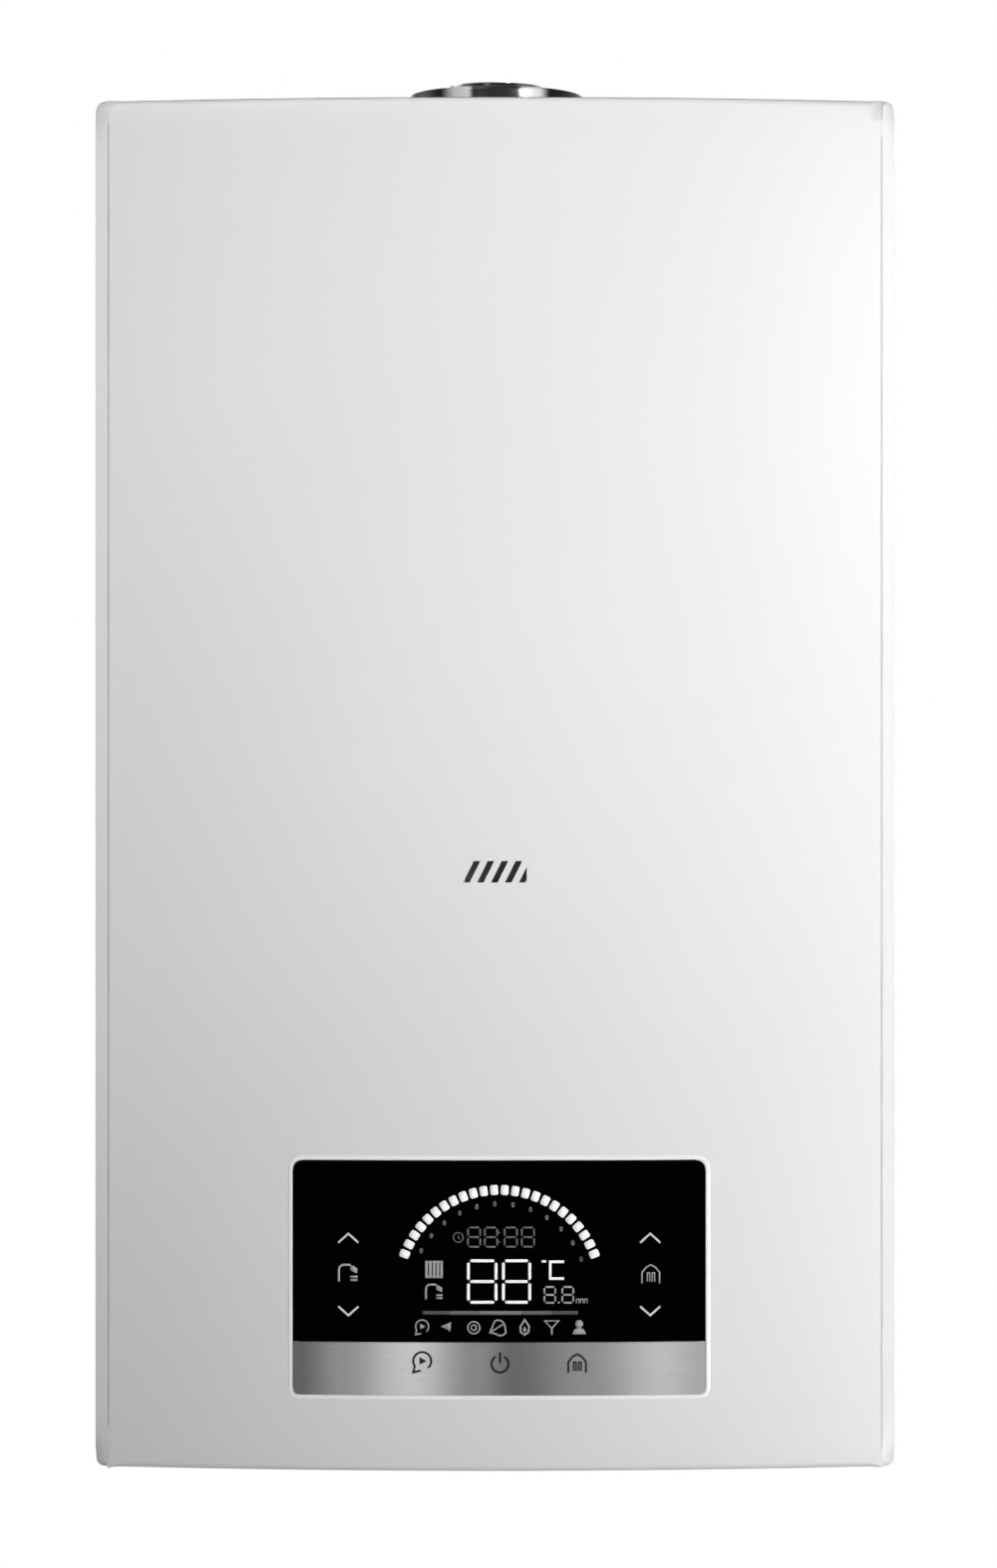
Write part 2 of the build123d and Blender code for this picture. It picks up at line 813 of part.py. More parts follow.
def exchanger_tubes():
    """One serpentine tube through the fins."""
    turn = run_turn + run_pitch / 2
    points = [(run_end, run_rows[0], run_z)]
    for index, y in enumerate(run_rows[:-1]):
        side = -turn if index % 2 == 0 else turn
        points += [(side, y, run_z), (side, run_rows[index + 1], run_z)]
    points.append((-run_end, run_rows[-1], run_z))
    return pipe(points, run_radius, tube_wall, run_pitch / 2 - 0.5)


def flue_hood():
    """Hood that gathers the burnt gas and leads it behind the fan."""

    def shell(inset, top):
        low = Pos(0, stack_y, fins_top) * Rectangle(
            2 * (stack_half_width - 4 - inset), 2 * (stack_half_depth - inset)
        )
        back = fan_back + duct_depth
        depth = 2 * stack_half_depth + hood_overlap
        high = Pos(8, back - depth / 2, top) * Rectangle(200 - 2 * inset, depth - 2 * inset)
        return loft([low.face(), high.face()])

    hood = shell(0, hood_top) - shell(hood_wall, hood_top - hood_wall)
    half = scroll_radius - 8
    duct_top = fan_z + half
    back = fan_back + duct_depth
    hood += block(fan_x - half, fan_x + half, fan_back, back, hood_top - hood_wall, duct_top)
    hood -= block(
        fan_x - half + hood_wall,
        fan_x + half - hood_wall,
        fan_back + hood_wall,
        back - hood_wall,
        hood_top - hood_wall - 1,
        duct_top - hood_wall,
    )
    return hood - rod_y(fan_x, fan_z, impeller_radius * 0.66, fan_back - 1, fan_back + 2)


def scroll_face():
    """Outline of the fan's scroll: three growing quarter turns and an upright mouth."""
    step = scroll_step
    r1 = scroll_radius
    r2 = r1 + step
    r3 = r2 + step
    cx = fan_x
    cz = fan_z
    top = (cx, cz + r1)
    right = (cx + r1, cz)
    base = (cx - step, cz - r2)
    left = (cx - step - r3, cz + step)
    mouth_left = (left[0], fan_top)
    mouth_right = (left[0] + 2 * spigot_radius + 1, fan_top)
    tongue = (mouth_right[0], cz + r1)
    outline = RadiusArc(top, right, r1) + RadiusArc(right, base, r2) + RadiusArc(base, left, r3)
    outline += Polyline(left, mouth_left, mouth_right, tongue, top)
    return make_face(outline)


def fan_housing():
    """Scroll of the fan, open at its mouth, its inlet and its shaft."""
    outer = scroll_face()
    inner = offset(outer, -fan_wall)
    shell = extrude(Pos(0, fan_back, 0) * (Plane.XZ * outer), fan_depth)
    cavity = extrude(Pos(0, fan_back - fan_wall, 0) * (Plane.XZ * inner), fan_depth - 2 * fan_wall)
    shell -= cavity
    left = fan_x - scroll_step - (scroll_radius + 2 * scroll_step) + fan_wall
    mouth = 2 * spigot_radius + 1 - 2 * fan_wall
    shell -= block(left, left + mouth, fan_front + fan_wall, fan_back - fan_wall, fan_top - 3, fan_top + 1)
    shell -= rod_y(fan_x, fan_z, impeller_radius * 0.6, fan_back - 2, fan_back + 1)
    return shell - rod_y(fan_x, fan_z, 12, fan_front - 1, fan_front + 2)


def fan_impeller():
    """Blade wheel on its shaft."""
    front = fan_front + fan_wall + 4
    back = fan_back - fan_wall - 4
    wheel = rod_y(fan_x, fan_z, impeller_radius, front, front + 1.5)
    wheel += rod_y(fan_x, fan_z, 9, front, front + 22)
    ring = rod_y(fan_x, fan_z, impeller_radius, back - 1.5, back)
    ring -= rod_y(fan_x, fan_z, impeller_radius - 9, back - 3, back + 1)
    wheel += ring
    blade_inner = impeller_radius - 12
    blade = block(blade_inner, impeller_radius - 0.5, front + 0.5, back - 0.5, -0.6, 0.6)
    for index in range(fan_blades):
        wheel += Pos(fan_x, 0, fan_z) * Rot(0, 360 * index / fan_blades, 0) * blade
    return wheel + rod_y(fan_x, fan_z, fan_shaft_radius, fan_front - 28, front + 30)


def fan_motor():
    """Motor on the fan's front, bored for the shaft."""
    motor = rod_y(fan_x, fan_z, motor_radius + 8, fan_front - 2, fan_front)
    body = rod_y(fan_x, fan_z, motor_radius, fan_front - motor_length, fan_front - 2)
    body = fillet(body.edges().sort_by(Axis.Y)[0], 5)
    motor += body
    bore = fan_shaft_radius + shaft_clearance
    return motor - rod_y(fan_x, fan_z, bore, fan_front - 30, fan_front + 1)


def air_pressure_switch():
    """Round pressure switch on the chamber's left wall, with two nipples."""
    face = switch_wall + switch_depth
    boss = face + nipple_reach / 2
    switch = rod_x(switch_y, switch_z, switch_radius, switch_wall, face)
    switch += rod_x(switch_y, switch_z, switch_radius * 0.7, face, boss)
    for y in nipple_rows():
        switch += rod_x(y, switch_z, nipple_radius, boss, nipple_end)
    return switch


def nipple_rows():
    """Where the two nipples lie along Y."""
    return [switch_y - nipple_spacing / 2, switch_y + nipple_spacing / 2]


def pressure_hoses():
    """Two soft hoses from the pressure switch to the fan."""
    end = fan_x - scroll_step - scroll_radius - 2 * scroll_step
    hoses = []
    for y, z in zip(nipple_rows(), (fan_z + 52, fan_z + 32)):
        tap_y = flue_y + (y - switch_y)
        points = [
            (nipple_end, y, switch_z),
            (nipple_end + 32, y, switch_z),
            (end - 34, tap_y, z),
            (end, tap_y, z),
        ]
        hoses.append(pipe(points, air_hose_radius, air_hose_wall, 24))
    return hoses


def gas_valve():
    """Gas valve block with its two coils and its regulator."""
    body = block(
        -gas_valve_half,
        gas_valve_half,
        gas_valve_y - 34,
        gas_valve_y + 34,
        gas_valve_base,
        gas_valve_top,
    )
    body = fillet(body.edges().filter_by(Axis.Z), 5)
    for z in (gas_valve_base - 6, gas_valve_top):
        body += rod_z(0, gas_valve_y, 14, z, z + 6)
    for y in (gas_valve_y - 17, gas_valve_y + 17):
        body += rod_x(y, gas_valve_base + 40, 14, -gas_valve_half - 26, -gas_valve_half)
    body += rod_x(gas_valve_y, gas_valve_base + 40, 16, gas_valve_half, gas_valve_half + 16)
    return body - rod_z(0, gas_valve_y, 6, gas_valve_base - 7, gas_valve_top + 7)


def threaded_stub(x, radius):
    """Pipe connection under the casing."""
    seat = -nut_height - nut_gap
    thread = rod_z(x, pipe_y, radius, -stub_drop, seat)
    return thread + rod_z(x, pipe_y, radius - thread_relief, seat, fitting_top)


def stub_bore(x, radius):
    """Waterway of a connection."""
    return rod_z(x, pipe_y, radius - 3, -stub_drop - 1, fitting_top + 5)


def gas_inlet_pipe():
    """Gas connection and the pipe up to the valve."""
    stub = threaded_stub(0, half_inch_radius) - rod_z(0, pipe_y, copper_radius - copper_wall, -stub_drop - 1, 30)
    run_low = 60.0
    points = [
        (0, pipe_y, fitting_top),
        (0, pipe_y, run_low),
        (0, gas_valve_y, run_low),
        (0, gas_valve_y, gas_valve_base - 6),
    ]
    return stub + pipe(points, copper_radius, copper_wall, copper_bend + 5)


def gas_outlet_pipe():
    """Pipe from the gas valve up to the burner's rail."""
    run_high = return_turn_high
    points = [
        (0, gas_valve_y, gas_valve_top + 6),
        (0, gas_valve_y, run_high),
        (0, gas_manifold_y, run_high),
        (0, gas_manifold_y, venturi_z - manifold_size / 2),
    ]
    return pipe(points, copper_radius, copper_wall, copper_bend)


def flow_pipe():
    """Hot pipe from the exchanger down to the three-way valve."""
    y = run_rows[-1]
    points = [
        (-run_end, y, run_z),
        (-riser_x, y, run_z),
        (-riser_x, y, flow_turn_z),
        (-pump_x, pipe_y - 52, upper_port_z),
        (-pump_x, pipe_y - valve_radius - 8, upper_port_z),
    ]
    return pipe(points, copper_radius, copper_wall, copper_bend)


def return_pipe():
    """Pipe from the pump up to the exchanger."""
    y = run_rows[0]
    points = [
        (riser_x, pump_outlet_y, pump_outlet_top),
        (riser_x, pump_outlet_y, return_turn_low),
        (riser_x, y, return_turn_high),
        (riser_x, y, run_z),
        (run_end, y, run_z),
    ]
    return pipe(points, copper_radius, copper_wall, copper_bend)


def diverter_valve():
    """Three-way valve over the flow connection, with its arm to the plate exchanger."""
    x = -pump_x
    body = threaded_stub(x, three_quarter_radius)
    body += rod_z(x, pipe_y, valve_radius, fitting_top, valve_top)
    body += rod_x(pipe_y, upper_port_z, arm_radius, x, -pipe_pitch)
    body += rod_y(-pipe_pitch, upper_port_z, arm_radius + 1.5, pipe_y - arm_radius - 3, plate_front)
    body += rod_y(x, upper_port_z, arm_radius + 2, pipe_y - valve_radius - 8, pipe_y)
    body -= stub_bore(x, three_quarter_radius)
    return body - rod_z(x, pipe_y, stem_radius + pin_clearance, valve_top - 30, valve_top + 1)


def diverter_stem():
    """Spindle that shifts the three-way valve."""
    top = valve_top + actuator_lift + 6
    stem = rod_z(-pump_x, pipe_y, stem_radius, valve_top - 28, top)
    return stem + rod_z(-pump_x, pipe_y, stem_radius + 2, top - 3, top)


def diverter_motor():
    """Actuator clipped over the three-way valve's spindle."""
    x = -pump_x
    low = valve_top + actuator_lift
    body = block(x - 24, x + 24, pipe_y - 24, pipe_y + 24, low, low + 58)
    body = fillet(body.edges().filter_by(Axis.Z), 4)
    for side in (-1, 1):
        xs = sorted((x + side * 12, x + side * 16))
        body += block(*xs, pipe_y - 8, pipe_y + 8, valve_top, low)
    cavity_top = low + 6 + stem_travel + 2
    return body - rod_z(x, pipe_y, stem_radius + 2 + running_gap, low - 1, cavity_top)


def return_manifold():
    """Block over the return connection that feeds the pump and the other fittings."""
    x = pump_x
    body = threaded_stub(x, three_quarter_radius)
    body += rod_z(x, pipe_y, arm_radius + 5, fitting_top, upper_port_z + 14)
    body += rod_x(pipe_y, upper_port_z, arm_radius, pipe_pitch, x)
    body += rod_y(pipe_pitch, upper_port_z, arm_radius + 1.5, pipe_y - arm_radius - 3, plate_front)
    body += rod_y(x, pump_z, arm_radius + 1, pump_back, pipe_y)
    body += rod_x(pipe_y, safety_base + 22, 8, x, safety_x - 12)
    body += rod_x(pipe_y, filling_z, 7, pipe_pitch + 14, x)
    body += rod_z(filling_x, pipe_y, 8, filling_z - 24, filling_z + 8)
    body -= stub_bore(x, three_quarter_radius)
    body -= rod_y(x, pump_z, 8, pump_back - 1, pipe_y)
    return body - rod_z(filling_x, pipe_y, filling_stem + pin_clearance, filling_z - 25, filling_z)


def filling_knob():
    """Filling tap's knob under the casing, on its stem."""
    low = -knob_drop
    knob = rod_z(filling_x, pipe_y, knob_radius, low, low + knob_height)
    for index in range(8):
        angle = math.radians(45 * index)
        groove_x = filling_x + (knob_radius + 1) * math.cos(angle)
        groove_y = pipe_y + (knob_radius + 1) * math.sin(angle)
        knob -= rod_z(groove_x, groove_y, 2.5, low - 1, low + knob_height + 1)
    return knob + rod_z(filling_x, pipe_y, filling_stem, low + knob_height, filling_z - 1)


def safety_valve():
    """Pressure relief valve with its discharge pipe."""
    body = rod_z(safety_x, pipe_y, 12, safety_base, safety_top)
    body += rod_z(safety_x, pipe_y, discharge_radius, discharge_end, discharge_seat)
    body += rod_z(safety_x, pipe_y, discharge_radius - thread_relief, discharge_seat, safety_base)
    body -= rod_z(safety_x, pipe_y, 5, -stub_drop, safety_base + 6)
    return body - rod_z(safety_x, pipe_y, pin_radius + pin_clearance, safety_top - 12, safety_top + 1)


def safety_valve_cap():
    """Turning cap of the relief valve."""
    low = safety_top + ledge_gap
    cap = rod_z(safety_x, pipe_y, 14, low, low + 20)
    cap = chamfer(cap.edges().sort_by(Axis.Z)[-1], 2)
    for index in range(6):
        angle = math.radians(60 * index)
        cap -= rod_z(safety_x + 15 * math.cos(angle), pipe_y + 15 * math.sin(angle), 3, low - 1, low + 21)
    return cap + rod_z(safety_x, pipe_y, pin_radius, safety_top - 11, low)


def pump_housing():
    """Pump's cast housing with its outlet and the air vent's boss."""
    body = rod_y(pump_x, pump_z, pump_radius, pump_front, pump_back)
    body += rod_z(riser_x, pump_outlet_y, 12, pump_z, pump_outlet_top)
    body += rod_z(vent_x, pump_outlet_y, 10, pump_z, vent_base)
    body -= rod_y(pump_x, pump_z, pump_impeller_radius + 2, pump_front + 4, pump_back - 4)
    body -= rod_y(pump_x, pump_z, magnet_radius + 1.5, pump_front - 1, pump_front + 5)
    body -= rod_y(pump_x, pump_z, 8, pump_back - 5, pump_back + 1)
    return body - rod_z(riser_x, pump_outlet_y, copper_radius - copper_wall, pump_z + 20, pump_outlet_top + 1)


def pump_motor():
    """Pump's motor with its terminal box."""
    body = rod_y(pump_x, pump_z, pump_motor_radius, pump_motor_front, pump_front)
    body = fillet(body.edges().sort_by(Axis.Y)[0], 6)
    top = pump_z + pump_motor_radius
    body += block(pump_x - 22, pump_x + 22, pump_motor_front + 8, pump_front - 12, pump_z, top + 26)
    body -= rod_y(pump_x, pump_z, magnet_radius + 1, pump_motor_front + 12, pump_front + 1)
    bore = pump_shaft_radius + shaft_clearance
    return body - rod_y(pump_x, pump_z, bore, pump_motor_front + 5, pump_front)


def pump_rotor():
    """Impeller, shaft and rotor of the pump."""
    middle = pump_back - pump_depth / 2
    rotor = rod_y(pump_x, pump_z, pump_impeller_radius, middle - 8, middle - 6)
    rotor += rod_y(pump_x, pump_z, 7, middle - 8, middle + 4)
    for index in range(6):
        vane = block(6, pump_impeller_radius - 1, middle - 7, middle + 3, -0.8, 0.8)
        rotor += Pos(pump_x, 0, pump_z) * Rot(0, 60 * index, 0) * vane
    rotor += rod_y(pump_x, pump_z, magnet_radius, pump_motor_front + 13, pump_front - 1)
    return rotor + rod_y(pump_x, pump_z, pump_shaft_radius, pump_motor_front + 6, middle)


def air_vent():
    """Automatic air vent on the pump."""
    top = vent_base + vent_height
    vent = rod_z(vent_x, pump_outlet_y, 14, vent_base, top)
    vent = chamfer(vent.edges().sort_by(Axis.Z)[-1], 3)
    return vent + rod_z(vent_x, pump_outlet_y, 5, top, top + 9)


def plate_exchanger():
    """Brazed stack of plates for the tap water."""
    top = plate_base + plate_height
    back = plate_front + plate_depth
    inset = 1.5
    stack = block(inset - plate_half_width, plate_half_width - inset, plate_front, back, plate_base + inset, top - inset)
    pitch = plate_depth / plate_count
    for index in range(plate_count):
        y = plate_front + pitch * (index + 0.5)
        half = plate_half_width
        stack += block(-half, half, y - pitch / 4, y + pitch / 4, plate_base, top)
    return stack


def expansion_hose():
    """Hose from the expansion vessel to the return block."""
    points = [
        (vessel_port_x, vessel_port_y, vessel_base - 12),
        (vessel_port_x, vessel_port_y, hose_high),
        (pump_x, pipe_y, hose_low),
        (pump_x, pipe_y, upper_port_z + 14),
    ]
    return pipe(points, hose_radius, hose_wall, 30)


def dhw_outlet():
    """Hot tap water connection with its arm from the plate exchanger."""
    x = -pipe_pitch
    body = threaded_stub(x, half_inch_radius)
    body += rod_z(x, pipe_y, half_inch_radius + 3, fitting_top, lower_port_z + 8)
    body += rod_y(x, lower_port_z, arm_radius - 1, pipe_y, plate_front)
    return body - stub_bore(x, half_inch_radius)


def flow_sensor():
    """Cold water connection with the housing of its flow turbine."""
    x = pipe_pitch
    body = threaded_stub(x, half_inch_radius)
    body += rod_z(x, pipe_y, half_inch_radius + 3.5, fitting_top, lower_port_z + 8)
    body += rod_y(x, lower_port_z, arm_radius - 1, pipe_y, plate_front)
    body += block(x - 7, x + 7, pipe_y - 24, pipe_y - 12, 30, 52)
    body -= rod_z(x, pipe_y, turbine_radius + 1, turbine_low - 2, turbine_high + 2)
    body -= rod_z(x, pipe_y, 1.2 + pin_clearance, turbine_low - 6, turbine_high + 6)
    return body - rod_z(x, pipe_y, half_inch_radius - 3, -stub_drop - 1, fitting_top - 2)


def flow_turbine():
    """Small turbine that counts the tap water's flow."""
    x = pipe_pitch
    wheel = rod_z(x, pipe_y, 3, turbine_low, turbine_high)
    for index in range(4):
        vane = block(2, turbine_radius, -0.6, 0.6, turbine_low + 1, turbine_high - 1)
        wheel += Pos(x, pipe_y, 0) * Rot(0, 0, 90 * index) * vane
    return wheel + rod_z(x, pipe_y, 1.2, turbine_low - 5, turbine_high + 5)


def union_nuts():
    """Locking nuts of the connections under the bottom plate, and of the flow pipe."""
    nuts = []
    for x, radius in pipe_places():
        nut = hexagon_z(x, pipe_y, radius + 6, -nut_height, 0)
        nuts.append(nut - rod_z(x, pipe_y, radius - thread_relief + nut_gap, -nut_height - 1, 1))
    y = pipe_y - valve_radius - 8
    nut = rod_y(-pump_x, upper_port_z, arm_radius + 3, y - nut_height, y)
    nuts.append(nut - rod_y(-pump_x, upper_port_z, copper_radius + nut_gap, y - nut_height - 1, y + 1))
    return nuts


def cable_gland():
    """Gland for the supply cable in the bottom plate."""
    gland = rod_z(gland_x, gland_y, gland_radius, -12, 14)
    gland += hexagon_z(gland_x, gland_y, gland_radius + 4, -6, 0)
    gland += hexagon_z(gland_x, gland_y, gland_radius + 3, sheet, sheet + 5)
    return gland - rod_z(gland_x, gland_y, 4, -13, 15)


def control_housing():
    """Shell of the control box, open at the back, with its hinge lugs."""
    left = panel_x - box_width / 2
    right = panel_x + box_width / 2
    top = box_base + box_height
    back = -box_back - lid_thickness
    front = -box_front
    shell = block(left, right, front, back, box_base, top)
    shell = fillet(shell.edges().filter_by(Axis.Y), 6)
    shell -= block(
        left + box_wall, right - box_wall, front + box_wall, back + 1, box_base + box_wall, top - box_wall
    )
    for x in (panel_x - lug_offset, panel_x + lug_offset):
        lug = block(
            x - lug_half_width, x + lug_half_width, hinge_y - lug_reach, hinge_y + lug_reach, hinge_z, box_base
        )
        lug += rod_x(hinge_y, hinge_z, lug_reach, x - lug_half_width, x + lug_half_width)
        shell += lug
        shell -= rod_x(hinge_y, hinge_z, pin_radius + pin_clearance, x - 10, x + 10)
    for x, z in board_posts():
        shell += rod_y(x, z, 4, front + box_wall, board_y - board_thickness)
    return shell


def board_posts():
    """Posts that carry the control board."""
    xs = (panel_x - 130, panel_x + 130)
    zs = (box_base + 24, box_base + box_height - 24)
    return [(x, z) for x in xs for z in zs]


def hinge_brackets():
    """Two forks on the bottom plate with the pins that the control box turns on."""
    brackets = []
    foot_low = ledge_face + sheet
    foot_high = foot_low + arm_sheet
    inner = lug_half_width + arm_gap
    for x in (panel_x - lug_offset, panel_x + lug_offset):
        fork = block(x - inner - arm_sheet, x + inner + arm_sheet, hinge_y - 5, ledge_front + 14, foot_low, foot_high)
        for side in (-1, 1):
            xs = sorted((x + side * inner, x + side * (inner + arm_sheet)))
            fork += block(*xs, hinge_y - 5, hinge_y + 5, foot_low, hinge_z)
            fork += rod_x(hinge_y, hinge_z, 5, *xs)
        fork += rod_x(hinge_y, hinge_z, pin_radius, x - inner - arm_sheet, x + inner + arm_sheet)
        brackets.append(fork)
    return brackets


def panel_bezel():
    """Pale rim of the control panel and the tray behind its faces."""
    depth = block(-half_width, half_width, front_y - 10, -box_front, 0, casing_height)
    body = panel_prism(0) & depth
    body = body - (body - bow_slab(-face_thickness * 10, bezel_proud))
    pocket = panel_prism(-bezel_rim) & bow_slab(-face_thickness - face_seam, bezel_proud + 2)
    return body - pocket


def panel_face(low, high, proud):
    """Bowed slab that fills part of the bezel's opening."""
    layer = bow_slab(-face_thickness, proud)
    field = panel_prism(-bezel_rim - face_seam)
    span = block(-half_width, half_width, front_y - 10, -box_front, low, high)
    return field & layer & span


def display_glass():
    """Black glass of the panel, above the strip."""
    return panel_face(panel_base + bezel_rim + strip_height + face_seam, panel_top, bezel_proud / 2)


def panel_strip():
    """Brushed strip with the lower keys."""
    return panel_face(panel_base, panel_base + bezel_rim + strip_height, bezel_proud / 2)


def main_board():
    """Control board with its transformer, relays and connectors."""
    half = box_width / 2 - 20
    low = box_base + 12
    high = box_base + box_height - 12
    board = block(panel_x - half, panel_x + half, board_y - board_thickness, board_y, low, high)
    back = board_y
    board += block(panel_x - 120, panel_x - 72, back, back + 22, low + 12, low + 58)
    for index in range(4):
        x = panel_x - 50 + 24 * index
        board += block(x, x + 16, back, back + 15, low + 14, low + 36)
    for index in range(6):
        x = panel_x - 60 + 30 * index
        board += block(x, x + 22, back, back + 12, high - 18, high - 6)
    board += rod_y(panel_x + 80, low + 30, 9, back, back + 20)
    board += rod_y(panel_x + 104, low + 30, 9, back, back + 20)
    return board


def control_cover():
    """Back lid of the control box."""
    left = panel_x - box_width / 2
    right = panel_x + box_width / 2
    lid = block(left, right, -box_back - lid_thickness, -box_back, box_base, box_base + box_height)
    return fillet(lid.edges().filter_by(Axis.Y), 6)


save("wall_bracket", wall_bracket())
save("rear_frame", rear_frame())
right_panel = side_panel()
save("right_side_panel", right_panel)
save("left_side_panel", mirror(right_panel, about=Plane.YZ))
save("top_plate", top_plate())
save("bottom_plate", bottom_plate())
save("front_cover", front_cover())
save("casing_screws", *casing_screws())
save("air_collar", air_collar())
save("flue_spigot", flue_spigot())
save("air_intake_cap", air_intake_cap())
save("expansion_vessel", *expansion_vessel(), vessel_port())
save("chamber_box", chamber_box())
save("chamber_gasket", chamber_gasket())
save("chamber_door", chamber_door())
save("sight_glass", sight_glass())
save("combustion_chamber", combustion_chamber())
save("insulation_boards", *insulation_boards())
save("burner_blades", *burner_blades())
save("burner_frame", burner_frame())
save("gas_manifold", gas_manifold())
save("electrodes", *electrodes())
save("exchanger_fins", *exchanger_fins())
save("exchanger_tubes", exchanger_tubes())
save("flue_hood", flue_hood())
save("fan_housing", fan_housing())
save("fan_impeller", fan_impeller())
save("fan_motor", fan_motor())
save("air_pressure_switch", air_pressure_switch())
save("pressure_hoses", *pressure_hoses())
save("gas_valve", gas_valve())
save("gas_inlet_pipe", gas_inlet_pipe())
save("gas_outlet_pipe", gas_outlet_pipe())
save("flow_pipe", flow_pipe())
save("return_pipe", return_pipe())
save("diverter_valve", diverter_valve())
save("diverter_stem", diverter_stem())
save("diverter_motor", diverter_motor())
save("return_manifold", return_manifold())
save("filling_knob", filling_knob())
save("safety_valve", safety_valve())
save("safety_valve_cap", safety_valve_cap())
save("pump_housing", pump_housing())
save("pump_motor", pump_motor())
save("pump_rotor", pump_rotor())
save("air_vent", air_vent())
save("plate_exchanger", plate_exchanger())
save("expansion_hose", expansion_hose())
save("dhw_outlet", dhw_outlet())
save("flow_sensor", flow_sensor())
save("flow_turbine", flow_turbine())
save("union_nuts", *union_nuts())
save("cable_gland", cable_gland())
save("hinge_brackets", *hinge_brackets())
save("control_housing", control_housing())
save("control_cover", control_cover())
save("panel_bezel", panel_bezel())
save("display_glass", display_glass())
save("panel_strip", panel_strip())
save("main_board", main_board())
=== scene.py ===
"""Dresses the wall-hung gas boiler: finishes, modelled shells, panel artwork, lights and camera."""

import json
import logging
import math
from dataclasses import dataclass, field
from enum import Enum
from typing import Any, Callable, Iterable, Sequence

import bmesh
import bpy
from mathutils import Euler, Matrix, Vector


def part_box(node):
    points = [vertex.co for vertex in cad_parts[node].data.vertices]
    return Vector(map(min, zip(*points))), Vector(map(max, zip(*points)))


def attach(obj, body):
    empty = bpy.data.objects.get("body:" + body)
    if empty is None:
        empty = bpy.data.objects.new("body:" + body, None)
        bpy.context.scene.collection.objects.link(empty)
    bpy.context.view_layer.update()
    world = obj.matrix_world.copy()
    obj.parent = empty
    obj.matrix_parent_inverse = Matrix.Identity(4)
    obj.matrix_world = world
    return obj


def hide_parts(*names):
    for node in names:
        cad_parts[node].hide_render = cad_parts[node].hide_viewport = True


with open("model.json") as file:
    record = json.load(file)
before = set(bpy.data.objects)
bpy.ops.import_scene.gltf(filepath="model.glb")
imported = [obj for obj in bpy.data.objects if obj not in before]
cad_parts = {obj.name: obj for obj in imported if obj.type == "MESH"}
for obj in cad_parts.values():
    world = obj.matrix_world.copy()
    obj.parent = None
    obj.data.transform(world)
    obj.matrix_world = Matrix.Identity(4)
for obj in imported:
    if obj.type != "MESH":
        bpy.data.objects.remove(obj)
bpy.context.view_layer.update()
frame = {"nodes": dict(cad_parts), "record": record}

log = logging.getLogger("boiler")
MM = 0.001
SHARP_ANGLE = math.radians(35)
MASK_RANGE = (0.3, 0.7)
TONE_RANGE = (0.35, 0.65)
Point = tuple[float, float]
Colour = tuple[float, float, float]
Place = tuple[float, float, float]
Shape = bmesh.types.BMesh
Socket = bpy.types.NodeSocket
Piece = bpy.types.Object


class Pattern(Enum):
    """What a surface's fine relief looks like."""

    ORANGE_PEEL = "orange_peel"
    BRUSHED = "brushed"
    SPANGLE = "spangle"
    MOULDED = "moulded"
    FIBRE = "fibre"


@dataclass
class Graph:
    """A node tree with short ways to add and join its nodes."""

    tree: bpy.types.NodeTree

    def fill(self, node: bpy.types.Node, inputs: dict[Any, Any]) -> None:
        """Gives a node's inputs their values or links.

        Args:
            node: The node.
            inputs: Values, or outputs to link from, by the input's name or number.
        """
        for key, value in inputs.items():
            if isinstance(value, Socket):
                self.tree.links.new(value, node.inputs[key])
            else:
                node.inputs[key].default_value = value

    def add(self, kind: str, inputs: dict[Any, Any] | None = None, **settings: Any) -> bpy.types.Node:
        """Adds a node.

        Args:
            kind: The node's type, without its ShaderNode prefix.
            inputs: As for fill.
            **settings: The node's own properties.

        Returns:
            The new node.
        """
        node = self.tree.nodes.new("ShaderNode" + kind)
        for key, value in settings.items():
            setattr(node, key, value)
        self.fill(node, inputs or {})
        return node

    def masked(self, mask: Socket, low: float, high: float) -> Socket:
        """Turns a slow mask into a number between low and high."""
        values = dict(zip(("From Min", "From Max"), MASK_RANGE))
        ranged = self.add("MapRange", {**values, "To Min": low, "To Max": high, "Value": mask})
        return ranged.outputs["Result"]

    def either(self, first: Socket, second: Socket) -> Socket:
        """The greater of two numbers."""
        return self.add("Math", {0: first, 1: second}, operation="MAXIMUM").outputs[0]


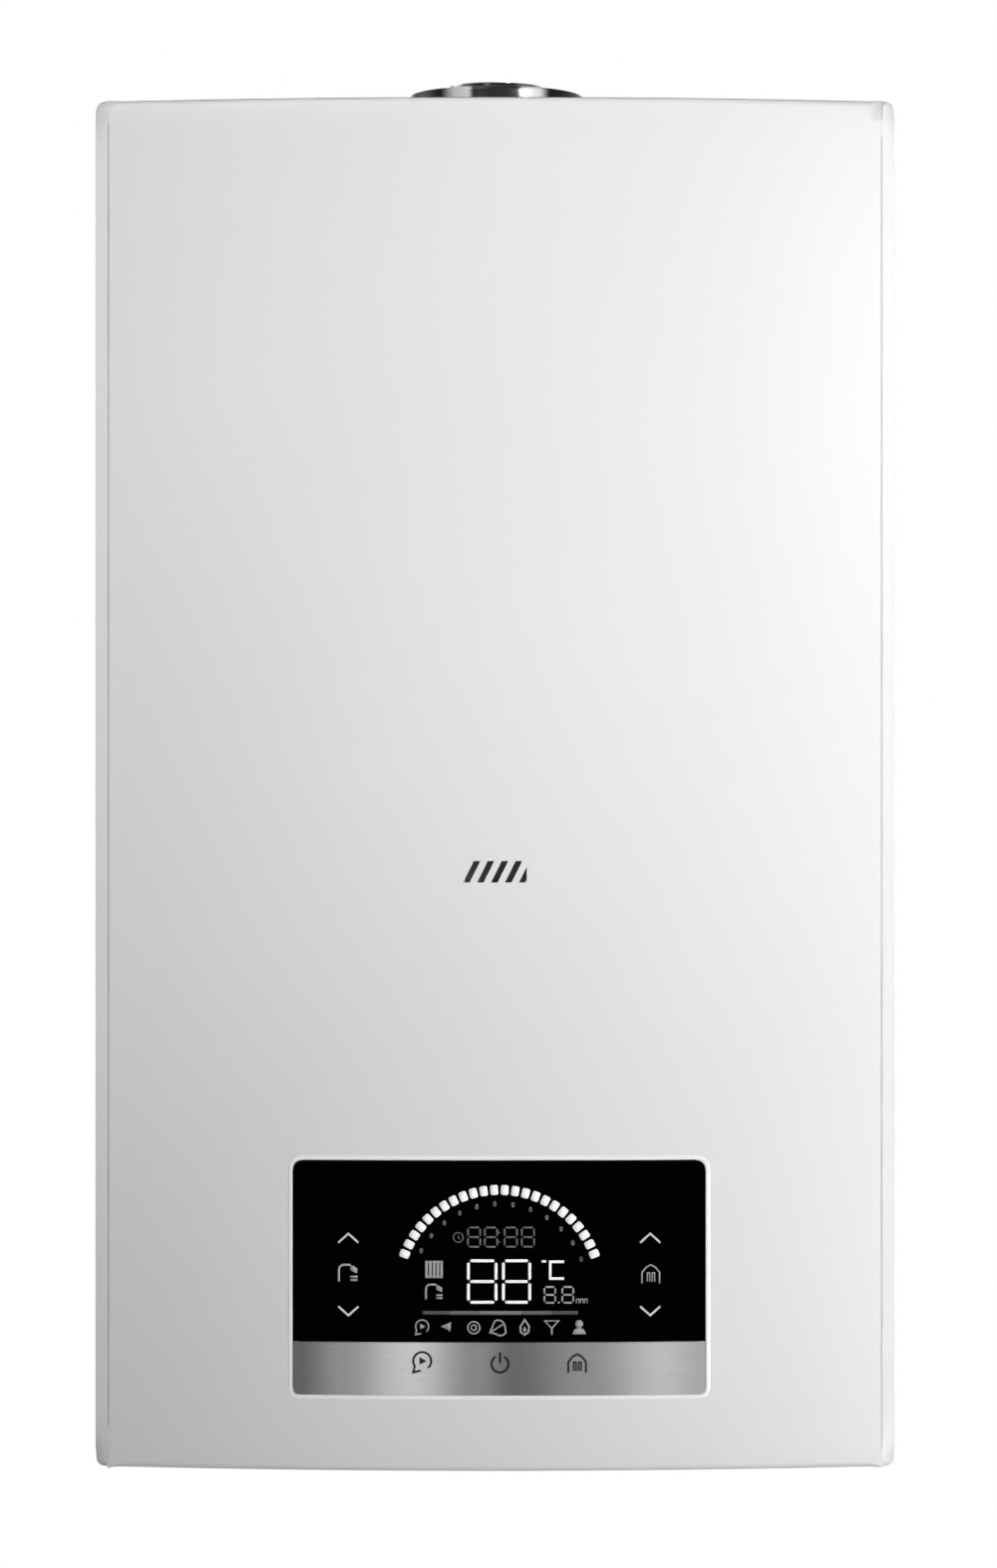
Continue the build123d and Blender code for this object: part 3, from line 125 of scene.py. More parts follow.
def relief_group(pattern: Pattern) -> bpy.types.NodeTree:
    """Builds, once, the shared group that gives a relief height and a slow mask.

    Args:
        pattern: Which relief the group makes.

    Returns:
        A node group with inputs Scale, Patch Scale and Stretch and outputs Height and Mask.
    """
    name = "relief_" + pattern.value
    if name in bpy.data.node_groups:
        return bpy.data.node_groups[name]
    group = bpy.data.node_groups.new(name, "ShaderNodeTree")
    for label, way, kind in (
        ("Scale", "INPUT", "Float"), ("Patch Scale", "INPUT", "Float"), ("Stretch", "INPUT", "Vector"),
        ("Height", "OUTPUT", "Float"), ("Mask", "OUTPUT", "Float"),
    ):
        group.interface.new_socket(name=label, in_out=way, socket_type="NodeSocket" + kind)
    graph = Graph(group)
    entry = group.nodes.new("NodeGroupInput").outputs
    place = graph.add("TexCoord").outputs["Object"]
    mapping = graph.add("Mapping", {"Vector": place, "Scale": entry["Stretch"]})
    inputs = {"Vector": mapping.outputs["Vector"], "Scale": entry["Scale"]}
    if pattern is Pattern.SPANGLE:
        height = graph.add("TexVoronoi", inputs, feature="F1").outputs["Color"]
    else:
        inputs["Detail"] = 2.0 if pattern is Pattern.ORANGE_PEEL else 4.0
        inputs["Roughness"] = 0.7 if pattern is Pattern.FIBRE else 0.5
        height = graph.add("TexNoise", inputs).outputs["Fac"]
    patches = graph.add("TexNoise", {"Detail": 3.0, "Vector": place, "Scale": entry["Patch Scale"]})
    graph.fill(group.nodes.new("NodeGroupOutput"), {"Height": height, "Mask": patches.outputs["Fac"]})
    return group


@dataclass(frozen=True)
class Finish:
    """One surface finish: two near tones, gloss and relief."""

    name: str
    tone: Colour
    second: Colour
    roughness: float
    spread: float = 0.05
    metallic: float = 0.0
    pattern: Pattern = Pattern.MOULDED
    scale: float = 900.0
    patch_scale: float = 9.0
    stretch: Place = (1.0, 1.0, 1.0)
    depth: float = 0.00002
    grain_in_tone: float = 0.0
    glow: float = 0.0
    alpha: float = 1.0
    specular: float = 0.5

    def make(self) -> bpy.types.Material:
        """Builds the material.

        Returns:
            The finished material, or the one already made under this name.
        """
        name = "finish_" + self.name
        if name in bpy.data.materials:
            return bpy.data.materials[name]
        material = bpy.data.materials.new(name)
        material.use_nodes = True
        graph = Graph(material.node_tree)
        shader = graph.tree.nodes["Principled BSDF"]
        relief = graph.add(
            "Group", {"Scale": self.scale, "Patch Scale": self.patch_scale, "Stretch": self.stretch},
            node_tree=relief_group(self.pattern),
        )
        height = relief.outputs["Height"]
        factor = relief.outputs["Mask"]
        if self.grain_in_tone > 0:
            blend = graph.add("Mix", {"Factor": self.grain_in_tone, "A": factor, "B": height})
            factor = blend.outputs["Result"]
        rough = (max(0.02, self.roughness - self.spread), min(1.0, self.roughness + self.spread))
        bump = graph.add("Bump", {"Strength": 0.5, "Distance": self.depth, "Height": height})
        graph.fill(shader, {
            "Base Color": self.tint(graph, factor),
            "Metallic": self.metallic,
            "Roughness": graph.masked(factor, *rough),
            "Specular IOR Level": self.specular,
            "Normal": bump.outputs["Normal"],
        })
        if self.glow > 0:
            graph.fill(shader, {"Emission Color": (*self.tone, 1.0), "Emission Strength": self.glow})
        if self.alpha < 1.0:
            graph.fill(shader, {"Alpha": self.alpha})
        return material

    def tint(self, graph: Graph, factor: Socket) -> Socket:
        """Mixes the two tones.

        Args:
            graph: The material's nodes.
            factor: The mask that chooses between the tones.

        Returns:
            The base colour's output.
        """
        ramp = graph.add("ValToRGB", {"Fac": factor})
        for element, place, tone in zip(
            ramp.color_ramp.elements, TONE_RANGE, (self.tone, self.second)
        ):
            element.position = place
            element.color = (*tone, 1.0)
        return ramp.outputs["Color"]


@dataclass(frozen=True)
class ReflectionPaintedMetal(Finish):
    """Brushed metal with painted reflections: light and dark bands laid into its colour along X, standing
    in for what foil or chrome mirrors in a white studio.
    """

    reflection_stops: tuple[tuple[float, float], ...] = ()
    streak: tuple[float, float] = (0.92, 1.07)

    def tint(self, graph: Graph, factor: Socket) -> Socket:
        """Lays the painted reflection bands along X and lets the brushing lighten and darken them.

        Args:
            graph: The material's nodes.
            factor: The brushing's mask.

        Returns:
            The base colour's output.
        """
        split = graph.add("SeparateXYZ", {"Vector": graph.add("TexCoord").outputs["Object"]})
        first = self.reflection_stops[0][0]
        last = self.reflection_stops[-1][0]
        along = graph.add("MapRange", {
            "Value": split.outputs["X"], "From Min": first * MM, "From Max": last * MM,
        })
        ramp = graph.add("ValToRGB", {"Fac": along.outputs["Result"]})
        ramp.color_ramp.interpolation = "EASE"
        elements = ramp.color_ramp.elements
        while len(elements) < len(self.reflection_stops):
            elements.new(0.5)
        for element, (x, grey_level) in zip(elements, self.reflection_stops):
            element.position = (x - first) / (last - first)
            element.color = (grey_level, grey_level, grey_level, 1.0)
        tone = graph.add(
            "Mix", {0: 1.0, 6: ramp.outputs["Color"], 7: graph.masked(factor, *self.streak)},
            data_type="RGBA", blend_type="MULTIPLY",
        )
        return tone.outputs[2]


def grey(name: str, low: float, high: float, roughness: float, spread: float = 0.03, **more: Any) -> Finish:
    """A finish whose two tones are plain greys.

    Args:
        name: The finish's name.
        low: The first tone.
        high: The second tone.
        roughness: The middle roughness.
        spread: How far the roughness varies.
        **more: Further values of the finish.

    Returns:
        The finish.
    """
    return Finish(name, (low, low, low), (high, high, high), roughness, spread, **more)


WHITE_ENAMEL = Finish(
    "white_enamel", (0.815, 0.817, 0.82), (0.83, 0.832, 0.835), 0.40, 0.03,
    pattern=Pattern.ORANGE_PEEL, scale=700.0, patch_scale=5.0, depth=0.000012,
)
ZINC_SHEET = Finish(
    "zinc_sheet", (0.46, 0.47, 0.48), (0.62, 0.63, 0.64), 0.38, 0.10, metallic=0.85,
    pattern=Pattern.SPANGLE, scale=120.0, patch_scale=14.0, depth=0.000004, grain_in_tone=0.55,
)
POLISHED_STEEL = grey(
    "polished_steel", 0.60, 0.74, 0.20, 0.06, metallic=1.0,
    pattern=Pattern.BRUSHED, scale=40.0, stretch=(1.0, 1.0, 30.0), depth=0.000006, grain_in_tone=0.5,
)
SCREW_ZINC = Finish("screw_zinc", (0.50, 0.51, 0.50), (0.62, 0.62, 0.60), 0.32, 0.08, metallic=1.0)
BLACK_GLASS = Finish(
    "black_glass", (0.0006, 0.0006, 0.0007), (0.0009, 0.0009, 0.001), 0.07, 0.02,
    scale=30.0, depth=0.000001, specular=0.0,
)
# Pale rim: its slight glow is a painted highlight on top of the rim's own pale tone.
PALE_RIM_PAINTED_HIGHLIGHT = grey("pale_rim_painted_highlight", 0.92, 0.95, 0.16, scale=500.0, depth=0.000004, glow=0.06)
# Painted reflections: the strip's bands of light and dark along X stand in for the studio mirrored in its
# brushed metal.
SILVER_STRIP = ReflectionPaintedMetal(
    "silver_strip", (0.4, 0.4, 0.4), (0.5, 0.5, 0.5), 0.42, 0.05, specular=0.15,
    pattern=Pattern.BRUSHED, scale=90.0, stretch=(0.6, 1.0, 26.0), depth=0.000006, grain_in_tone=0.8,
    reflection_stops=((-105.0, 0.18), (-81.0, 0.40), (-46.0, 0.78), (-11.0, 0.32), (10.0, 0.17), (50.0, 0.33),
           (90.0, 0.60), (111.0, 0.46)),
)
# Painted reflections: the chrome ring's black and bright bands along X stand in for the studio it mirrors.
CHROME_RING = ReflectionPaintedMetal(
    "chrome_ring", (0.5, 0.5, 0.5), (0.6, 0.6, 0.6), 0.27, 0.03, metallic=1.0,
    pattern=Pattern.BRUSHED, scale=40.0, stretch=(1.0, 1.0, 20.0), depth=0.000003,
    reflection_stops=((-54.0, 0.45), (-49.0, 0.14), (-45.0, 0.015), (-31.0, 0.01), (-22.0, 0.46), (-16.0, 0.50),
           (-12.0, 0.02), (12.0, 0.015), (18.0, 0.48), (24.0, 0.46), (31.0, 0.01), (45.0, 0.015),
           (49.0, 0.14), (54.0, 0.45)),
)
# Painted reflections: the spigot is dark in its middle and brightens towards its sides along X, standing in
# for what it mirrors.
CHROME_SPIGOT = ReflectionPaintedMetal(
    "chrome_spigot", (0.5, 0.5, 0.5), (0.6, 0.6, 0.6), 0.18, 0.03, metallic=1.0,
    pattern=Pattern.BRUSHED, scale=40.0, stretch=(1.0, 1.0, 20.0), depth=0.000003,
    reflection_stops=((-27.5, 0.45), (-20.0, 0.12), (-8.0, 0.012), (8.0, 0.012), (20.0, 0.12), (27.5, 0.45)),
)
GREY_PLASTIC = Finish(
    "grey_plastic", (0.085, 0.088, 0.092), (0.11, 0.113, 0.118), 0.5, 0.06, scale=1400.0,
)
BLACK_PLASTIC = Finish(
    "black_plastic", (0.012, 0.012, 0.013), (0.02, 0.02, 0.021), 0.42, 0.07, scale=1500.0,
)
RED_PLASTIC = Finish("red_plastic", (0.42, 0.012, 0.01), (0.50, 0.02, 0.014), 0.36, 0.05)
BLUE_PLASTIC = Finish("blue_plastic", (0.012, 0.06, 0.26), (0.016, 0.075, 0.32), 0.36, 0.05)
BOARD_GREEN = Finish("board_green", (0.008, 0.10, 0.03), (0.012, 0.14, 0.045), 0.35, 0.05, scale=600.0)
VESSEL_RED = Finish(
    "vessel_red", (0.36, 0.012, 0.01), (0.42, 0.018, 0.014), 0.34, 0.05,
    pattern=Pattern.ORANGE_PEEL, scale=500.0, depth=0.00002,
)
COPPER = Finish(
    "copper", (0.66, 0.27, 0.14), (0.50, 0.19, 0.10), 0.30, 0.10, metallic=1.0,
    pattern=Pattern.BRUSHED, scale=60.0, patch_scale=22.0, depth=0.000004,
)
BRASS = Finish(
    "brass", (0.62, 0.42, 0.16), (0.50, 0.33, 0.12), 0.38, 0.10, metallic=1.0,
    scale=900.0, patch_scale=40.0, depth=0.00003,
)
CAST_GREY = Finish(
    "cast_grey", (0.035, 0.036, 0.038), (0.055, 0.056, 0.058), 0.55, 0.08,
    scale=700.0, depth=0.00006,
)
ALU_CAST = Finish(
    "alu_cast", (0.56, 0.57, 0.58), (0.68, 0.69, 0.70), 0.42, 0.08, metallic=0.95,
    scale=650.0, depth=0.00004,
)
BURNER_STEEL = Finish(
    "burner_steel", (0.30, 0.28, 0.26), (0.42, 0.36, 0.30), 0.40, 0.10, metallic=1.0, patch_scale=30.0,
)
FIBRE_BOARD = Finish(
    "fibre_board", (0.62, 0.58, 0.48), (0.72, 0.69, 0.60), 0.92, 0.04,
    pattern=Pattern.FIBRE, scale=260.0, depth=0.0002,
)
CERAMIC = Finish("ceramic", (0.74, 0.72, 0.66), (0.80, 0.78, 0.73), 0.16, 0.04)
SEAL_RUBBER = grey("seal_rubber", 0.014, 0.024, 0.7, 0.08, scale=1200.0)
HOSE_SILICONE = Finish("hose_silicone", (0.40, 0.09, 0.035), (0.46, 0.12, 0.05), 0.5, 0.06)
CLEAR_GLASS = Finish("clear_glass", (0.62, 0.70, 0.68), (0.66, 0.74, 0.72), 0.05, 0.02, alpha=0.4)
LIT_WHITE = grey("lit_white", 0.88, 0.92, 0.5, glow=0.30)
LIT_SOFT = grey("lit_soft", 0.55, 0.62, 0.5, glow=0.20)
LIT_GREY = grey("lit_grey", 0.32, 0.38, 0.5, glow=0.10)
LIT_MIDDLE = grey("lit_middle", 0.17, 0.21, 0.5, glow=0.08)
LIT_DIM = grey("lit_dim", 0.10, 0.14, 0.5, glow=0.05)
LIT_FAINT = grey("lit_faint", 0.04, 0.06, 0.5, glow=0.03)
# Painted shade: dark grey for the line laid over the up-facing part of the top fold, where the fold falls
# into shade.
TOP_FOLD_SHADE_GREY = grey("top_fold_painted_shade", 0.09, 0.12, 0.6, specular=0.1)
PRINT_DARK = grey("print_dark", 0.008, 0.012, 0.5, specular=0.1)

SLOT_FINISHES: dict[str, Finish] = {finish.name: finish for finish in (
    WHITE_ENAMEL, ZINC_SHEET, POLISHED_STEEL, SCREW_ZINC, BLACK_GLASS, SILVER_STRIP, GREY_PLASTIC,
    BLACK_PLASTIC, RED_PLASTIC, BLUE_PLASTIC, BOARD_GREEN, VESSEL_RED, COPPER, BRASS, CAST_GREY,
    ALU_CAST, BURNER_STEEL, FIBRE_BOARD, CERAMIC, SEAL_RUBBER, HOSE_SILICONE, CLEAR_GLASS,
)}
# The pale plastic slot shares the rim's finish, glow of painted highlight included.
SLOT_FINISHES["pale_plastic"] = PALE_RIM_PAINTED_HIGHLIGHT


def add_object(name: str, data: bpy.types.ID) -> Piece:
    """Makes an object and links it to the scene."""
    made = bpy.data.objects.new(name, data)
    bpy.context.scene.collection.objects.link(made)
    return made


def mesh_from(bm: Shape, name: str) -> bpy.types.Mesh:
    """Turns a bmesh into a mesh and frees it."""
    mesh = bpy.data.meshes.new(name)
    bm.to_mesh(mesh)
    bm.free()
    return mesh


def smooth(mesh: bpy.types.Mesh) -> None:
    """Shades a mesh smooth but for its sharp edges."""
    mesh.shade_smooth()
    mesh.set_sharp_from_angle(angle=SHARP_ANGLE)


def finish_piece(bm: Shape, name: str, finish: Finish, body: str) -> Piece:
    """Turns a bmesh into a piece that rides on a body.

    Args:
        bm: The shape, in metres in the row's frame. It is freed.
        name: The piece's name.
        finish: Its material.
        body: The body that it moves with.

    Returns:
        The new object.
    """
    bm.normal_update()
    mesh = mesh_from(bm, name)
    mesh.materials.append(finish.make())
    smooth(mesh)
    piece = add_object(name, mesh)
    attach(piece, body)
    log.info("piece %s: %d faces", name, len(mesh.polygons))
    return piece


def apply_modifiers(piece: Piece) -> None:
    """Bakes every modifier of a piece into its mesh.

    Args:
        piece: The object to flatten.
    """
    graph = bpy.context.evaluated_depsgraph_get()
    baked = bpy.data.meshes.new_from_object(piece.evaluated_get(graph))
    old = piece.data
    piece.modifiers.clear()
    piece.data = baked
    bpy.data.meshes.remove(old)


def cut_with(piece: Piece, cutters: Iterable[Shape]) -> None:
    """Subtracts closed shapes from a piece.

    Args:
        piece: The object that is cut.
        cutters: The shapes taken away. Each is freed.
    """
    made = []
    for index, bm in enumerate(cutters):
        cutter = add_object(f"cutter_{index}", mesh_from(bm, f"cutter_{index}"))
        modifier = piece.modifiers.new(cutter.name, "BOOLEAN")
        modifier.object = cutter
        modifier.solver = "EXACT"
        made.append(cutter)
    apply_modifiers(piece)
    for cutter in made:
        bpy.data.objects.remove(cutter)


def round_edges(bm: Shape, edges: list[bmesh.types.BMEdge], radius: float, steps: int) -> None:
    """Rounds some edges of a shape.

    Args:
        bm: The shape.
        edges: Its edges to round.
        radius: The bevel's offset.
        steps: The bevel's segments.
    """
    bmesh.ops.bevel(
        bm, geom=edges, offset=radius, segments=steps, profile=0.5, affect="EDGES", material=-1
    )


def block(size: Place, middle: Place) -> Shape:
    """Plain box of a given size and middle."""
    bm = bmesh.new()
    bmesh.ops.create_cube(bm, size=1.0)
    bmesh.ops.scale(bm, vec=size, verts=bm.verts)
    bmesh.ops.translate(bm, vec=middle, verts=bm.verts)
    return bm


@dataclass
class Bow:
    """The front's curve about the vertical axis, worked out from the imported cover."""

    half_width: float = 0.0
    front: float = 0.0
    side_front: float = 0.0
    sagitta: float = 0.020

    @classmethod
    def from_frame(cls) -> "Bow":
        """Reads the cover's box and returns its curve."""
        low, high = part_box("front_cover")
        bow = cls(half_width=(high[0] - low[0]) / 2, front=low[1])
        bow.side_front = bow.front + bow.sagitta
        return bow

    @property
    def radius(self) -> float:
        """Radius of the curve."""
        return (self.half_width**2 + self.sagitta**2) / (2 * self.sagitta)

    def y(self, x: float, proud: float = 0.0) -> float:
        """Where the front lies at x, moved outwards by proud."""
        radius = self.radius
        return self.front + radius - math.sqrt((radius + proud) ** 2 - x * x)


@dataclass
class FrontCover:
    """Bowed enamelled cover with rounded edges, panel opening and flame slots."""

    bow: Bow
    columns: int = 64
    rows: int = 60
    sheet: float = 1.0 * MM
    corner: float = 7.5 * MM
    edge: float = 3.6 * MM
    slot_pitch: float = 7.45 * MM
    slot_width: float = 3.5 * MM
    slot_height: float = 11.5 * MM
    slot_lean: float = 5.7 * MM
    slot_span: float = 34.0 * MM
    slots: int = 5
    slot_z: float = 320.6 * MM
    screw_x: float = 150.0 * MM
    screw_back: float = 9.4 * MM
    notch_radius: float = 2.3 * MM
    gap: float = 0.8 * MM
    opening_top: float = 7.8 * MM
    opening_base: float = 5.8 * MM
    line_lift: float = 0.06 * MM

    def shell(self) -> Shape:
        """Bends a grid to the front's curve, folds its borders back and rounds the folds.

        Returns:
            The cover's outer skin, open at the back.
        """
        low, high = (Vector(corner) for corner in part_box("front_cover"))
        middle = (low + high) / 2
        bm = bmesh.new()
        bmesh.ops.create_grid(bm, x_segments=self.columns, y_segments=self.rows, size=0.5)
        size = Vector((high.x - low.x, high.z - low.z, 1.0))
        bmesh.ops.scale(bm, vec=size, verts=bm.verts)
        upright_turn = Matrix.Rotation(math.radians(90), 3, "X")
        bmesh.ops.rotate(bm, cent=(0, 0, 0), matrix=upright_turn, verts=bm.verts)
        bmesh.ops.translate(bm, vec=(middle.x, 0.0, middle.z), verts=bm.verts)
        for vert in bm.verts:
            vert.co.y = self.bow.y(vert.co.x)
        rims = [edge for edge in bm.edges if edge.is_boundary]
        folded = bmesh.ops.extrude_edge_only(bm, edges=rims)["geom"]
        for item in folded:
            if isinstance(item, bmesh.types.BMVert):
                item.co.y = high.y
        half = size.x / 2 - 1e-5
        upright = [
            edge for edge in bm.edges
            if all(abs(v.co.x) > half and v.co.y < self.bow.side_front + 1e-5 for v in edge.verts)
        ]
        round_edges(bm, upright, self.corner, 8)
        level = [
            edge for edge in bm.edges
            if all(abs(abs(v.co.z - middle.z) - size.y / 2) < 1e-5 for v in edge.verts)
            and len(edge.link_faces) == 2
            and abs(edge.link_faces[0].normal.dot(edge.link_faces[1].normal)) < 0.5
        ]
        round_edges(bm, level, self.edge, 6)
        return bm

    def opening(self) -> Shape:
        """Rounded prism of the panel's opening."""
        low, high = (Vector(corner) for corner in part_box("panel_bezel"))
        gap = self.gap
        return rounded_prism(
            low.x - gap, high.x + gap, low.z - gap, high.z + gap, self.opening_top, self.opening_base,
            self.bow.front - 0.02, self.bow.front + 0.04,
        )

    def slot_cutters(self) -> list[Shape]:
        """Slanted prisms of the flame slots, the last one cut off upright."""
        low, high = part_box("front_cover")
        middle_z = low[2] + self.slot_z
        cutters = []
        for index in range(self.slots):
            left = self.slot_pitch * index - self.slot_span / 2
            bm = block(
                (self.slot_width, 0.03, self.slot_height),
                (left + self.slot_width / 2, self.bow.front, middle_z),
            )
            for vert in bm.verts:
                if vert.co.z > middle_z:
                    vert.co.x += self.slot_lean
            inside = bmesh.ops.bisect_plane(
                bm, geom=bm.verts[:] + bm.edges[:] + bm.faces[:],
                plane_co=(self.slot_span / 2, 0, 0), plane_no=(1, 0, 0), clear_outer=True,
            )
            rims = [item for item in inside["geom_cut"] if isinstance(item, bmesh.types.BMEdge)]
            if rims:
                bmesh.ops.contextual_create(bm, geom=rims)
            bmesh.ops.recalc_face_normals(bm, faces=bm.faces)
            cutters.append(bm)
        return cutters

    def screw_notches(self) -> list[Shape]:
        """Notches, open to the back, for the two lower screws."""
        low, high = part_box("front_cover")
        return [
            rounded_prism_z(
                side * self.screw_x, high[1] - self.screw_back, self.notch_radius, high[1] + 0.01,
                low[2] - 0.01, low[2] + 0.004,
            )
            for side in (-1, 1)
        ]

    def edge_line(self, shell: Shape) -> Piece:
        """Thin dark grey line of painted shade that runs along the up-facing part of the top fold.

        Args:
            shell: The cover's outer skin, which stays as it is.

        Returns:
            The line's object.
        """
        line = shell.copy()
        line.normal_update()
        others = [face for face in line.faces if not 0.80 < face.normal.z < 0.999]
        bmesh.ops.delete(line, geom=others, context="FACES")
        for vert in line.verts:
            vert.co.z += self.line_lift
        bmesh.ops.solidify(line, geom=line.faces[:], thickness=self.line_lift)
        return finish_piece(line, "cover_top_painted_shade", TOP_FOLD_SHADE_GREY, "cover")

    def build(self) -> Piece:
        """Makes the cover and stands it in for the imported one.

        Returns:
            The cover's object.
        """
        shell = self.shell()
        self.edge_line(shell)
        cover = finish_piece(shell, "cover_shell", WHITE_ENAMEL, "cover")
        wall = cover.modifiers.new("wall", "SOLIDIFY")
        wall.thickness = self.sheet
        wall.offset = -1.0
        apply_modifiers(cover)
        cut_with(cover, [self.opening(), *self.slot_cutters(), *self.screw_notches()])
        smooth(cover.data)
        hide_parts("front_cover")
        return cover


def rounded_prism(
    x0: float, x1: float, z0: float, z1: float, top: float, base: float, y0: float, y1: float
) -> Shape:
    """Prism along Y with rounded upright corners.

    Args:
        x0: Left side.
        x1: Right side.
        z0: Lower side.
        z1: Upper side.
        top: Radius of the upper corners.
        base: Radius of the lower corners.
        y0: Front end.
        y1: Back end.

    Returns:
        The closed prism.
    """
    bm = block((x1 - x0, y1 - y0, z1 - z0), ((x0 + x1) / 2, (y0 + y1) / 2, (z0 + z1) / 2))
    middle = (z0 + z1) / 2
    for radius, upper in ((top, True), (base, False)):
        edges = [
            edge for edge in bm.edges
            if abs(edge.verts[0].co.y - edge.verts[1].co.y) > (y1 - y0) / 2
            and (edge.verts[0].co.z > middle) == upper
        ]
        round_edges(bm, edges, radius, 8)
    return bm


def rounded_prism_z(x: float, y: float, radius: float, back: float, z0: float, z1: float) -> Shape:
    """Upright slot shape with a round front end.

    Args:
        x: Middle of the slot.
        y: Centre of the round end.
        radius: Half the slot's width.
        back: Where the slot ends at the back.
        z0: Lower end.
        z1: Upper end.

    Returns:
        The closed prism.
    """
    bm = block((2 * radius, back - y + radius, z1 - z0), (x, (back + y - radius) / 2, (z0 + z1) / 2))
    edges = [
        edge for edge in bm.edges
        if abs(edge.verts[0].co.z - edge.verts[1].co.z) > (z1 - z0) / 2 and edge.verts[0].co.y < y
    ]
    round_edges(bm, edges, radius * 0.98, 6)
    return bm


def spun(profile: Sequence[Point], centre: Point, steps: int = 96) -> Shape:
    """Turns a closed profile about an upright axis.

    Args:
        profile: Radius and height pairs, in metres, in order round the section.
        centre: The axis's x and y.
        steps: How many facets go round.

    Returns:
        The closed ring.
    """
    bm = bmesh.new()
    verts = [bm.verts.new((centre[0] + radius, centre[1], z)) for radius, z in profile]
    edges = [bm.edges.new((verts[i], verts[(i + 1) % len(verts)])) for i in range(len(verts))]
    bmesh.ops.spin(
        bm, geom=verts + edges, cent=(*centre, 0.0), axis=(0, 0, 1), angle=2 * math.pi, steps=steps,
        use_merge=True,
    )
    bmesh.ops.remove_doubles(bm, verts=bm.verts, dist=1e-6)
    bmesh.ops.recalc_face_normals(bm, faces=bm.faces)
    return bm


@dataclass
class FlueCollar:
    """Outer air ring with its rounded lip, and the polished spigot inside it."""

    flange: float = 2.0 * MM
    flange_radius: float = 66.0 * MM
    wall: float = 1.2 * MM
    skirt: float = 45.2 * MM
    lip: float = 0.9 * MM
    cap_reach: float = 58.0 * MM
    spigot_radius: float = 27.5 * MM
    spigot_wall: float = 1.2 * MM
    outer: float = 50.0 * MM
    foot: float = 29.0 * MM
    skin: float = 0.04 * MM
    cap: tuple[Point, ...] = (
        (0.01, -0.5), (6.0, -0.5), (6.0, 11.2), (5.2, 12.0), (4.0, 12.0), (4.0, 14.4), (3.4, 15.0),
        (0.01, 15.0),
    )

    def ring(self) -> Piece:
        """Chrome ring: flange, upright wall with a rolled lip, and the two sampling caps."""
        low, high = (Vector(corner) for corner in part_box("air_collar"))
        middle = (low + high) / 2
        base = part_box("top_plate")[1][2]
        lip_z = base + self.flange
        outer = self.outer
        inner = outer - self.wall
        profile = [
            (self.skirt, low.z), (self.skirt + 0.8 * MM, low.z), (self.skirt + 0.8 * MM, base),
            (self.flange_radius - 0.4 * MM, base), (self.flange_radius, base + 0.4 * MM),
            (self.flange_radius, lip_z - 0.6 * MM), (self.flange_radius - 0.6 * MM, lip_z),
            (outer + 1.6 * MM, lip_z), (outer + 0.5 * MM, lip_z + 0.5 * MM), (outer, lip_z + 1.6 * MM),
        ]
        centre = Vector((outer - self.lip, high.z - self.lip))
        profile += [(outer, high.z - 2.6 * self.lip)]
        profile += arc(tuple(centre), self.lip, 0, 180, 9)
        profile += [(inner, high.z - 2.6 * self.lip), (inner, lip_z), (self.skirt, lip_z - 0.4 * MM)]
        bm = spun(profile, (middle.x, middle.y))
        for side in (-1, 1):
            cap = [(r * MM, lip_z + z * MM) for r, z in self.cap]
            joined = mesh_from(spun(cap, (middle.x + side * self.cap_reach, middle.y), 32), "cap")
            bm.from_mesh(joined)
            bpy.data.meshes.remove(joined)
        collar = finish_piece(bm, "collar_ring", CHROME_RING, "casing")
        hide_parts("air_collar")
        return collar

    def spigot(self) -> Piece:
        """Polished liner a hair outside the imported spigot, with a rolled rim."""
        low, high = (Vector(corner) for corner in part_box("flue_spigot"))
        axis = Vector(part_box("air_collar")[0]) + Vector(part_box("air_collar")[1])
        outer = self.spigot_radius
        inner = outer - self.spigot_wall
        top = high.z
        half = self.spigot_wall / 2
        foot = top - self.foot
        profile = [(outer, foot), *arc((inner + half, top - half), half, 0, 180, 9), (inner, foot)]
        skin = self.skin
        outside = inner + 0.3 * MM
        bm = spun(
            [(r + skin if r > outside else r - skin, z + skin) for r, z in profile],
            (axis.x / 2, axis.y / 2),
        )
        return finish_piece(bm, "spigot_liner", CHROME_SPIGOT, "casing")

    def build(self) -> None:
        """Makes the ring and the spigot's liner."""
        self.ring()
        self.spigot()


